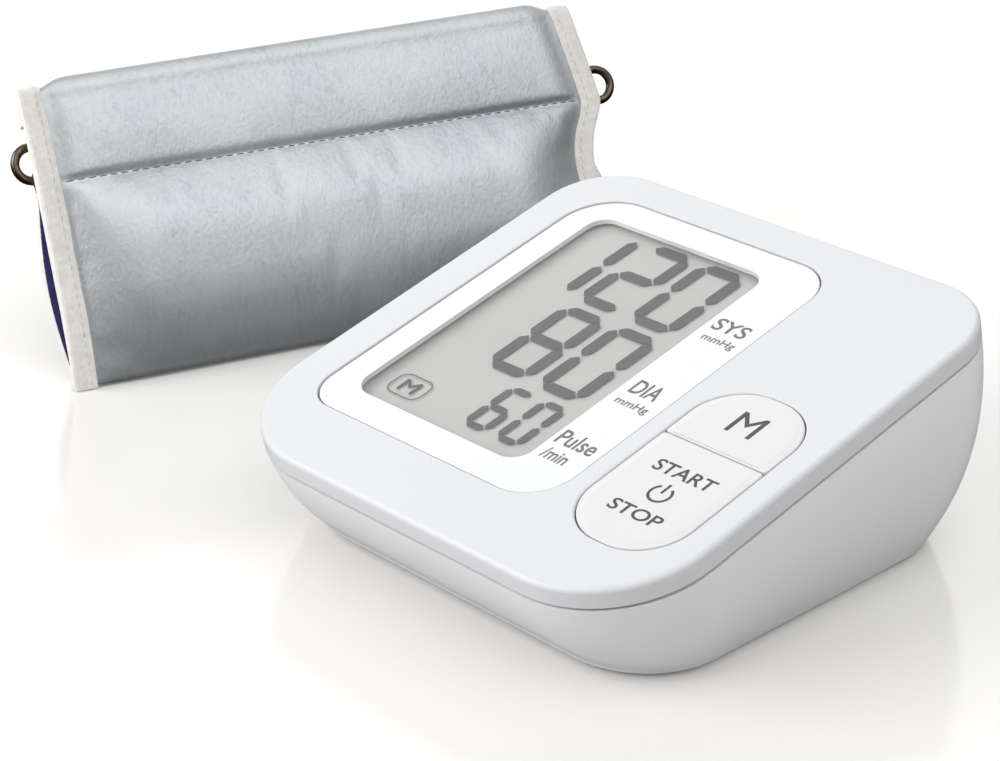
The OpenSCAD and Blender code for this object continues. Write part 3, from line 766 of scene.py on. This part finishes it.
def power_symbol(solid, x, y, r, t, z):
    """A broken ring with an upright bar in its gap."""
    opening = 34
    arc = [radians(90 + opening + (360 - 2 * opening) * k / 40) for k in range(41)]
    rings = []
    for a in arc:
        d = Vector((cos(a), sin(a), 0))
        c = Vector((x, y, z))
        lift = Vector((0, 0, PRINT_T))
        near, far = c + d * (r - t / 2), c + d * (r + t / 2)
        rings.append([near, far, far + lift, near + lift])
    solid.closed(rings)
    stem = Shape(x - t / 2, x + t / 2, y + 0.2, y + r + 0.9, (t / 2 - 0.02,) * 4)
    solid.closed([stem.points(z, 4), stem.points(z + PRINT_T, 4)])


def make_keys():
    upper = KEYS_SHAPE._replace(y0=KEY_SPLIT + 0.2, radii=(0.8, 0.8, 12, 12))
    lower = KEYS_SHAPE._replace(y1=KEY_SPLIT - 0.2, radii=(12, 12, 0.8, 0.8))
    make_key("memory_key", upper, "memory_button", "memory_button")
    make_key("start_stop_key", lower, "start_stop_button", "start_stop_button")
    memory = Solid(PLATE)
    letter(memory, "M", (36.9, 43.5), (56.2, 63.2), KEY_TOP, PRINT_T, 0)
    memory.piece("memory_legend", INK_DARK, "memory_button", flat=True)
    start = Solid(PLATE)
    letter(start, "START", (32.8, 48.2), (38.9, 42.5), KEY_TOP, PRINT_T)
    letter(start, "STOP", (33.7, 46.9), (24.9, 28.3), KEY_TOP, PRINT_T)
    power_symbol(start, *POWER_AT, 2.45, 0.6, KEY_TOP)
    start.piece("start_stop_legend", INK_DARK, "start_stop_button", flat=True)


make_keys()

# ---------------- underside
COVER_T = 1.8


def make_battery_cover():
    """A sliding cover with grip ridges and an arrow that points the way it opens."""
    solid = Solid()
    plate = BAY.grow(1.4)._replace(radii=(1.4,) * 4)
    solid.closed(
        rounded_edge(plate, 0.35, FOOT_H, down=1, steps=3) + [plate.points(FOOT_H + COVER_T)]
    )
    middle = (BAY.x0 + BAY.x1) / 2
    for i in range(5):
        y = BAY.y1 - 12 + 2.4 * i
        ridge = Shape(middle - 9, middle + 9, y, y + 1.1, (0.5,) * 4)
        solid.closed([ridge.points(FOOT_H + 0.1, 5)] + rounded_edge(ridge, 0.3, FOOT_H - 0.35, 1, 3)[::-1])
    tip = Vector((middle, BAY.y1 - 15, FOOT_H - 0.12))
    arrow = [tip, tip + Vector((-3.4, -5, 0)), tip + Vector((3.4, -5, 0))]
    solid.closed([arrow, [p + Vector((0, 0, 0.3)) for p in arrow]])
    for x in (BAY.x0 - 2.7, BAY.x1 + 1.2):
        for y in (BAY.y0 + 4, BAY.y0 + 40):
            tongue = Shape(x, x + 1.5, y, y + 6, (0.3,) * 4)
            solid.closed([tongue.points(1.4, 3), tongue.points(2.2, 3)])
    solid.piece("battery_cover_lid", PLASTIC_BASE, "battery_cover", "battery_cover")


def make_feet():
    for place, (x, y) in FEET.items():
        pad = Solid(Matrix.Translation((x, y, 0)))
        pad.lathe([(0, 0), (3.9, 0), (4.25, 0.08), (4.45, 0.3), (4.5, 0.6), (4.5, 1.78), (0, 1.78)])
        pad.piece(f"foot_{place}_pad", RUBBER, "unit", f"foot_{place}")


make_battery_cover()
make_feet()

# ---------------- the cuff's shape
SWELL, SWELL_TOP, SWELL_S = 4.4, 0.5, 31
LEAN_BACK, LEAN_DEPTH = 1.8, 3.5
RISE_NEAR, RISE_FAR = 0.9, 2.4
PANEL_RISE = 0.8
SEAM_DIP = 0.85
TUCK, TUCK_S = 3.2, 24


def sway(x, s):
    """How far the far end of the cuff is pushed out of line, most of all at the seam."""
    above = s - SEAM_S
    push = 3.6 * (max(1 - above / (CUFF_H - SEAM_S), 0) if above > 0 else exp(-((above / 6.5) ** 2)))
    return (push - 1.6 * exp(-(((s - 34) / 8) ** 2))) * smoothstep((x - 88) / 60)


def leaning(x, s, n):
    """A point of the upright cuff, before it is pushed out of line."""
    return Vector((x, s * LEAN_SIN + n * LEAN_COS, s * LEAN_COS - n * LEAN_SIN))


def at(x, s, n):
    """A point in the cuff's own place: x along the arm, s up the lean, n behind the front face.

    Above the seam the front leans back a little further, and the far end stands a little higher."""
    x += sway(x, s)
    above = max(s - SEAM_S, 0)
    front = min(max(1 - n / BAND_REAR, 0), 1)
    outside = min(max(1 - n / LEAN_DEPTH, 0), 1)
    s += mix(RISE_NEAR, RISE_FAR, x / CUFF_W) * above / (CUFF_H - SEAM_S) * smoothstep(2 * front)
    n += LEAN_BACK * min(above / (BEND_S - SEAM_S), 1) ** 1.3 * outside
    return leaning(x, s, n)


def ground(n):
    """The lowest s at depth n that stays above the ground."""
    return (0.08 + n * LEAN_SIN) / LEAN_COS


def tuck(s):
    return TUCK * (1 - s / TUCK_S) ** 2 if s < TUCK_S else 0


FRONT_STEPS = [0, 0.02, 0.05, 0.09, 0.14] + [0.14 + 0.86 * i / 26 for i in range(1, 27)]


def seam_steps():
    """Steps up the front, from 0 at the ground to 1 at the fold, closer together at the seam."""
    seam = SEAM_S / BEND_S
    near = [seam + d / BEND_S for d in (-3.2, -1.9, -1.1, -0.55, 0, 0.55, 1.1, 1.9, 3.2)]
    kept = [t for t in FRONT_STEPS if abs(t - seam) > 4.2 / BEND_S]
    return sorted(kept + near)


def band_profile(depth, steps):
    """(s, n) points over the outer band at this depth: up the front, round the fold, down the rear."""
    made = []
    for t in steps:
        s = mix(ground(depth + TUCK), BEND_S, t)
        made.append((s, depth + tuck(s) * (1 - 0.6 * depth / BAND_T)))
    r = BAND_REAR / 2 - depth
    for i in range(1, 10):
        a = radians(-90 + 180 * i / 10)
        made.append((BEND_S + r * cos(a), BAND_REAR / 2 + r * sin(a)))
    for s in (BEND_S, mix(BEND_S, FLAP_S, 0.5), FLAP_S):
        made.append((s, BAND_REAR - depth))
    return made


def swell(s):
    """How far the padding pushes the front out: a low pillow with its crest near the ground."""
    if s > SEAM_S:
        return SWELL_TOP * max(sin(pi * (s - SEAM_S) / (BEND_S - SEAM_S)), 0)
    if s > SWELL_S:
        return SWELL * max(1 - ((s - SWELL_S) / (SEAM_S - SWELL_S)) ** 2, 0) ** 0.85
    return SWELL * max(1 - ((SWELL_S - s) / (SWELL_S + 3)) ** 2, 0)


def panel_profile(x):
    """Closed (s, n) loop of the padded panel at x."""
    edge = min(x, CUFF_W - x)
    rise = smoothstep((edge - 4.6) / 7)
    fill = smoothstep((edge - 5) / 20)
    outer = []
    steps = seam_steps()
    front = band_profile(TAPE_T + 0.1, steps)
    for i, (s, n) in enumerate(front):
        if i < len(steps):
            lift = PANEL_RISE + TAPE_T + swell(s) * fill
            lift -= SEAM_DIP * exp(-(((s - SEAM_S) / 1.2) ** 2))
            lift *= 1 if s > TUCK_S else mix(0.35, 1, smoothstep(s / TUCK_S))
            outer.append((s, n - lift * rise))
        elif i < len(steps) + 9:
            a = radians(-90 + 180 * (i - len(steps) + 1) / 10)
            lift = (PANEL_RISE + TAPE_T) * rise * cos(a / 2 + pi / 4) + 1.1 * rise * cos(a)
            outer.append((s + lift * cos(a), n + lift * sin(a)))
        else:
            outer.append((s, n))
    inner = band_profile(mix(2.35, BAND_T, rise), steps)
    return outer + inner[::-1]


PANEL_COLUMNS = [0.85, 3, 4.6, 5.6, 6.6, 7.8, 9.4, 11.6] + [14 + 2.4 * i for i in range(51)] + [
    CUFF_W - e for e in (11.6, 9.4, 7.8, 6.6, 5.6, 4.6, 3, 0.85)
]
SIM_SCALE = 10
SIM_FRAMES = 20
SIM_PRESSURE = 4
SIM_CAP = 0.8


def puff(obj, held):
    """Inflates obj as cloth, with the vertices in held kept still, and keeps the result."""
    rest = [v.co.copy() for v in obj.data.vertices]
    obj.data.transform(Matrix.Scale(SIM_SCALE, 4))
    group = obj.vertex_groups.new(name="held")
    for i, weight in held.items():
        group.add([i], weight, "REPLACE")
    cloth = obj.modifiers.new("cloth", "CLOTH")
    settings = cloth.settings
    settings.vertex_group_mass = "held"
    settings.quality = 6
    settings.mass = 0.3
    settings.use_pressure = True
    settings.uniform_pressure_force = SIM_PRESSURE
    settings.shrink_min = settings.shrink_max = -0.007
    settings.tension_stiffness = settings.compression_stiffness = 12
    settings.shear_stiffness = 6
    settings.bending_stiffness = 0.6
    settings.effector_weights.gravity = 0
    cloth.point_cache.frame_end = SIM_FRAMES
    scene = bpy.context.scene
    for step in range(1, SIM_FRAMES + 1):
        scene.frame_set(step)
    moved = [v.co.copy() / SIM_SCALE for v in shown(obj).data.vertices]
    obj.modifiers.remove(cloth)
    obj.vertex_groups.clear()
    scene.frame_set(1)
    for v, a, b in zip(obj.data.vertices, rest, moved):
        step = b - a
        cap = SIM_CAP * MM
        v.co = a + step * min(1, cap / max(step.length, 1e-9))


def make_panel():
    """The padded front of the cuff, folded over at the top: puffed as cloth, then smoothed."""
    solid = Solid(CUFF)
    rings = [[at(x, s, n) for s, n in panel_profile(x)] for x in PANEL_COLUMNS]
    for end in solid.skin(rings):
        solid.cap_band(end)
    # The lower edge, sewn to the inner fold.
    hem = Shape(0, 3.4, 0, 6.2, (1.2, 1.2, 1.4, 1.4))
    hem_rings = []
    for x in (TAPE_W + 1.2, TAPE_W + 2, CUFF_W / 2, CUFF_W - TAPE_W - 2, CUFF_W - TAPE_W - 1.2):
        hem_rings.append([at(x, max(p.y, ground(p.x + 4.6)), p.x + 4.6) for p in hem.points(0, 5)])
    solid.closed(hem_rings)
    panel = solid.piece("cuff_padded_panel", CLOTH, "cuff", "cuff_panel", angle=60)
    per_ring = len(rings[0])
    count = len(PANEL_COLUMNS)
    profile = panel_profile(CUFF_W / 2)
    front = len(seam_steps())
    held = {}
    for i in range(len(panel.data.vertices)):
        column, row = divmod(i, per_ring)
        edge = min(column, count - 1 - column)
        fixed = column >= count or row >= front + 4 or edge < 5 or row < 2
        near_seam = row < front and abs(profile[row][0] - SEAM_S) < 0.8
        if fixed or near_seam:
            held[i] = 1.0
        elif profile[row][0] > SEAM_S:
            held[i] = 0.8
    puff(panel, held)
    smooth = panel.modifiers.new("smooth", "SUBSURF")
    smooth.levels = smooth.render_levels = 1
    panel.modifiers.move(len(panel.modifiers) - 1, 0)
    return panel


def stitch_row(solid, points, normals, length, gap, radius, lift):
    """Thread stitches along a line of points: each one arches out of the cloth and dives back."""
    total = 0
    lengths = [0]
    for a, b in zip(points, points[1:]):
        total += (b - a).length
        lengths.append(total)

    def along(d):
        d = min(max(d, 0), total - 1e-6)
        i = next(k for k in range(1, len(lengths)) if lengths[k] >= d)
        t = (d - lengths[i - 1]) / (lengths[i] - lengths[i - 1])
        return points[i - 1].lerp(points[i], t), normals[i - 1].lerp(normals[i], t)

    count = int(total // (length + gap))
    for k in range(count):
        start = k * (length + gap) + (total - count * (length + gap)) / 2 + gap / 2
        path = []
        for t in (0, 0.15, 0.5, 0.85, 1):
            p, n = along(start + length * t)
            path.append(p + n * (lift * sin(pi * t) - radius * 0.9))
        solid.tube(path, radius, steps=6)


def sew(name, obj, body, points, outward, thread, size=(1.9, 0.8, 0.17)):
    """A row of stitches on the surface of obj, below points that float outside it."""
    tree = BVHTree.FromObject(obj, bpy.context.evaluated_depsgraph_get())
    place = CUFF.inverted()
    down = -(CUFF.to_3x3() @ outward).normalized()
    feet, normals = [], []
    for p in points:
        hit, normal, _, _ = tree.ray_cast((CUFF @ p) * MM, down)
        if hit is not None:
            feet.append(place @ (hit / MM))
            normals.append((place.to_3x3() @ normal).normalized())
    solid = Solid(CUFF)
    stitch_row(solid, feet, normals, *size, size[2] * 0.95)
    solid.piece(name, thread, body)


def make_seam(panel):
    """The line of grey stitches across the padded panel."""
    steps = 120
    ends = (TAPE_W + 0.6, CUFF_W - TAPE_W - 0.6)
    points = [at(mix(*ends, i / steps), SEAM_S, -12) for i in range(steps + 1)]
    outward = Vector((0, -LEAN_COS, LEAN_SIN))
    sew("cuff_seam_stitches", panel, "cuff", points, outward, THREAD_GREY)


def tape_section(e0, e1, thick, t):
    """Cross-section of a binding tape as (distance from the end, depth) points, folded round the end."""
    outside = [(e1, 0.14), (e1 - 0.3, 0), (e0 + 1.1, 0.0)]
    outside += [(e0 + 0.4, 0.22), (e0 + 0.1, 0.75), (e0, thick / 2)]
    outside += [(e, thick - d) for e, d in outside[-2::-1]]
    inside = [(e1, thick - t), (e0 + 1.2, thick - t), (e0 + t, thick / 2), (e0 + 1.2, t), (e1, t)]
    return outside + inside


def make_tape(name, node, right, section, places, drift, sewing):
    """The tape that binds one end of a layer of the cuff, with its stitches.

    places[i][d] is where the tape runs at step i and depth d, and sewing is where its stitches run, both as
    (x shift, s, n). drift is how its width wanders: (size, pitch, seeds)."""
    size, pitch, *seeds = drift
    rings = []
    for i, place in enumerate(places):
        wander = size * noise.noise(Vector((i * pitch, *seeds)))
        ring = []
        for e, d in section:
            shift, s, n = place[d]
            reach = e + (wander if e > TAPE_W / 2 else 0.3 * wander)
            ring.append(at((CUFF_W - reach if right else reach) + shift, s, n))
        rings.append(ring)
    solid = Solid(CUFF)
    solid.closed(rings)
    solid.piece(name, TAPE, "cuff", node, angle=50)
    x = CUFF_W - TAPE_W + 1.6 if right else TAPE_W - 1.6
    points = [at(x + shift, s, n) for shift, s, n in sewing]
    thread = Solid(CUFF)
    stitch_row(thread, points, outward_normals(points), 1.5, 0.85, 0.2, 0.16)
    thread.piece(name + "_stitches", THREAD_CREAM, "cuff")


def make_band_tape(side, right):
    section = tape_section(0, TAPE_W, BAND_T, TAPE_T)
    steps = [0] + [0.015 + 0.985 * i / 44 for i in range(45)]
    profiles = {d: [(0, s, n) for s, n in band_profile(d, steps)] for _, d in section}
    places = [{d: profiles[d][i] for d in profiles} for i in range(len(profiles[0]))]
    drift = (0.22, 0.21, 3.7 if right else 9.1, 0)
    make_tape(f"cuff_end_tape_{side}", f"cuff_tape_{side}", right, section, places, drift, profiles[0][:-2])


def outward_normals(points):
    """Normals of a profile line that runs up the front, square to the arm."""
    made = []
    for i in range(len(points)):
        a, b = points[max(i - 1, 0)], points[min(i + 1, len(points) - 1)]
        made.append((b - a).cross(Vector((-1, 0, 0))).normalized())
    return made


RING_S, RING_N, RING_X = 57.5, 6.9, 3.7
RING_DROOP = 2.2
RING_L, RING_H, WIRE = 163, 10.4, 2.2
WIRE_S = RING_S - RING_H / 2 + WIRE / 2
FOLD_FRONT, FOLD_BACK = 5.6, 7.8


def droop(x):
    """How far the ring and its loop sit lower towards the far end."""
    return RING_DROOP * min(max(x / CUFF_W, 0), 1.05)


def bow(x, s):
    """How far the ends of the inner fold spread out past the outer band."""
    near = -1.9 * max(sin(pi * (s - 6) / 42), 0) if 6 < s < 48 else 0
    far = 4.6 * smoothstep((46 - s) / 18)
    return near * smoothstep((30 - x) / 30) + far * smoothstep((x - 100) / 48)


def layer(profile, ends, steps, spot):
    """Rings of an (s, n) profile along the cuff, with spot(x, s, n) saying where each point goes."""
    return [[at(*spot(mix(*ends, k / steps), s, n)) for s, n in profile] for k in range(steps + 1)]


def make_fold():
    """The inner fold of the cuff, with the loop that holds the ring's lower wire."""
    loop = 2.0
    low = 6.9
    profile = [(low + 0.5, FOLD_FRONT), (low, FOLD_FRONT + 0.5)]
    profile += [(low, FOLD_BACK - 0.5), (low + 0.5, FOLD_BACK)]
    profile += [(mix(low + 2, WIRE_S - 3, i / 12), FOLD_BACK) for i in range(13)]
    for i in range(15):
        a = radians(145 - 290 * i / 14)
        profile.append((WIRE_S + loop * cos(a), RING_N + loop * sin(a)))
    profile += [(mix(WIRE_S - 3, low + 2, i / 12), FOLD_FRONT) for i in range(13)]

    def spot(x, s, n):
        wave = 0.12 * noise.noise(Vector((x * 0.08, s * 0.1, 1.5)))
        return x + bow(x, s), s - droop(x) * smoothstep((s - 30) / 20), n + wave

    solid = Solid(CUFF)
    solid.closed(layer(profile, (1.2, CUFF_W - 1.2), 60, spot))
    fold = solid.piece("cuff_inner_fold", CLOTH, "cuff", "cuff_fold", angle=50)


def make_fold_tape(side, right):
    section = tape_section(0.6, TAPE_W, 3.6, TAPE_T)
    top, near, steps = WIRE_S - 3.2, 4.9, 40
    end = CUFF_W if right else 0

    def place(n, s):
        return bow(end, s), s, n

    places = []
    for i in range(steps + 1):
        places.append({d: place(near + d, mix(ground(near + d), top, i / steps)) for _, d in section})
    drift = (0.2, 0.23, 5.2 if right else 1.3, 2)
    sewing = [place(near + 3.6, mix(top - 0.5, ground(8.5) + 1, i / 20)) for i in range(21)]
    make_tape(f"cuff_inner_tape_{side}", f"cuff_fold_tape_{side}", right, section, places, drift, sewing)


LINING_X = (1.4, CUFF_W - TAPE_W - 1.4)
LINING_S = (8, 50)


def make_lining():
    """The navy lining between the two folds, with a rolled lower edge."""
    profile = [(LINING_S[1], 4.2), (LINING_S[1], 4.7)]
    profile += [(mix(LINING_S[1], LINING_S[0] + 1.5, i / 12), 4.7) for i in range(1, 13)]
    for i in range(9):
        a = radians(60 - 300 * i / 8)
        profile.append((LINING_S[0] + 0.6 + 0.62 * cos(a), 4.28 + 0.62 * sin(a)))
    profile += [(mix(LINING_S[0] + 1.5, LINING_S[1], i / 12), 4.2) for i in range(12)]

    def spot(x, s, n):
        edge = bow(x, s) - 0.7 * smoothstep(1 - x / 20)
        return x + edge, s, n + 0.06 * noise.noise(Vector((x * 0.1, s * 0.1, 7)))

    solid = Solid(CUFF)
    solid.closed(layer(profile, LINING_X, 50, spot))
    lining = solid.piece("cuff_navy_lining", NAVY, "cuff", "cuff_lining", angle=50)


def make_ring():
    """A long narrow wire ring."""
    r = (RING_H - WIRE) / 2
    reach = RING_L / 2 - RING_H / 2
    middle = CUFF_W / 2 + RING_X
    path = []
    for side in (1, -1):
        for i in range(17):
            a = radians(-90 + 180 * i / 16)
            path.append((side * (reach + r * cos(a)), side * r * sin(a)))
        path += [(side * (reach - 2 * reach * i / 12), side * r) for i in range(1, 12)]
    points = [leaning(middle + x, RING_S + s - droop(x + middle), RING_N) for x, s in path]
    solid = Solid(CUFF)
    solid.tube(points, WIRE / 2, steps=16, closed=True)
    solid.piece("cuff_steel_ring", RING_METAL, "cuff_ring", "cuff_ring")


def make_flap():
    """The closing flap: a quilted tongue of cloth that hangs from the fold, with a bound edge."""
    hinge = at(0, FLAP_S, FLAP_N)
    middle = FLAP_X0 + FLAP_W / 2
    top, low = hinge.z, 0.15
    corner = 14
    rows, columns = 40, 48
    solid = Solid(CUFF)

    def row(side, j):
        t = j / rows
        z = mix(low, top, t ** 0.8 if t < 1 else 1)
        half = FLAP_W / 2
        if z - low < corner:
            half += sqrt(max(corner * corner - (corner - z + low) ** 2, 0)) - corner
        line = []
        for i in range(columns + 1):
            x = half * sin(pi / 2 * (2 * i / columns - 1))
            edge = min(half - abs(x), z - low + 0.05)
            puffed = 0.35 + (FLAP_T / 2 - 0.4) * smoothstep(edge / 3.5)
            wave = 0.55 * noise.noise(Vector((x * 0.05, z * 0.035, 4.4))) * smoothstep((top - z) / 18)
            line.append((middle + x, hinge.y + side * puffed + wave, z))
        return solid.ring(line)

    inner, outer = ([row(side, j) for j in range(rows + 1)] for side in (-1, 1))
    # The roll along the top, on the hinge line.
    roll = [inner[-1]]
    for k in range(1, 12):
        a = radians(180 - 180 * k / 12)
        y, z = hinge.y + FLAP_T / 2 * cos(a), top + FLAP_T / 2 * sin(a)
        roll.append(solid.ring([(v.co.x, y, z) for v in inner[-1]]))
    roll.append(outer[-1])
    for lines in (inner, outer, roll):
        for a, b in zip(lines, lines[1:]):
            solid.bridge(a, b, closed=False)
    solid.bridge(inner[0], outer[0], closed=False)
    for i in (0, columns):
        solid.bridge([line[i] for line in inner], [line[i] for line in outer], closed=False)
        solid.cap([line[i] for line in roll])
    flap = solid.piece("cuff_closing_flap", CLOTH, "cuff_flap", "cuff_flap", angle=55)

    # The sewing, down one side, round the corners and up the other.
    inset, bend = 3.6, 11
    span = FLAP_W / 2 - inset
    path = [(span, mix(top - 4, low + 15, i / 12)) for i in range(12)]
    left = [(-x, z) for x, z in path[::-1]]
    for i in range(81):
        x = span * cos(pi * i / 80)
        run = min(max((abs(x) - (span - bend)) / bend, 0), 1)
        path.append((x, low + inset + bend * (1 - sqrt(max(1 - run * run, 0)))))
    for side, word in ((1, "outer"), (-1, "inner")):
        points = [Vector((middle + x, hinge.y + side * 9, z)) for x, z in path + left]
        outward, size = Vector((0, side, 0)), (2.1, 1.0, 0.2)
        sew(f"cuff_flap_stitches_{word}", flap, "cuff_flap", points, outward, THREAD_GREY, size)


def make_air_port():
    """The hose nipple: a moulded stem with three barbs and a bore."""
    place = CUFF @ Matrix.Translation(at(CUFF_W - 14.4, 14, 1.5)) @ Matrix.Rotation(radians(90), 4, "Y")
    tip = 14.4 + 9
    profile = [(0, 0), (2.4, 0), (2.4, 15.4), (1.6, 15.5)]
    for start in (16, 18.4, 20.8):
        profile += [(1.6, start), (2.0, start + 0.5), (1.6, start + 2.0)]
    profile += [(1.6, tip - 0.3), (1.4, tip), (1.05, tip), (1.0, tip - 6), (0, tip - 6)]
    solid = Solid(place)
    solid.lathe(profile, 32)
    solid.piece("cuff_hose_nipple", PORT_PLASTIC, "cuff", "cuff_air_port")


PORT_PLASTIC = moulded("port_plastic", (58, 59, 62), (48, 49, 52), 0.45)

panel = make_panel()
make_seam(panel)
make_band_tape("left", False)
make_band_tape("right", True)
make_fold()
make_fold_tape("left", False)
make_fold_tape("right", True)
make_lining()
make_ring()
make_flap()
make_air_port()

# ---------------- CAD nodes that stay
BOARD_GREEN = moulded("board_green", (34, 96, 62), (26, 82, 52), 0.5, grain=0.01)
BLACK_PLASTIC = moulded("black_plastic", (38, 38, 40), (28, 28, 30), 0.5)
SOFT_TUBE = moulded("silicone_tube", (222, 220, 212), (210, 207, 198), 0.35, grain=0.004)
CELL_SLEEVE = moulded("cell_sleeve", (62, 70, 84), (48, 54, 68), 0.3, grain=0.002)
BRASS = metal("turned_brass", (196, 168, 112), (168, 140, 86), 0.3)

FINISHES = [
    (LCD, "lcd_glass"),
    (PANEL_WHITE, "lcd_holder"),
    (BOARD_GREEN, "main_board"),
    (BLACK_PLASTIC, "lcd_contact_strip processor buzzer memory_switch start_stop_switch"),
    (BLACK_PLASTIC, "pressure_sensor pump_head exhaust_valve"),
    (PLASTIC_KEY, "memory_plunger start_stop_plunger air_manifold"),
    (PLASTIC_BASE, "air_socket"),
    (STEEL, "case_screws board_screws pump_motor valve_plunger contact_plus contact_minus"),
    (STEEL, "contact_link_1 contact_link_2 contact_link_3"),
    (RUBBER, "socket_seal pump_cradle cuff_bladder"),
    (BRASS, "pump_rotor"),
    (CELL_SLEEVE, "cell_1 cell_2 cell_3 cell_4"),
    (SOFT_TUBE, "socket_tube valve_tube pump_tube sensor_tube"),
    (HOOK, "cuff_hook_pad cuff_loop_pad"),
]
for finish, names in FINISHES:
    for name in names.split():
        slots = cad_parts[name].data.materials
        slots.clear()
        slots.append(finish)
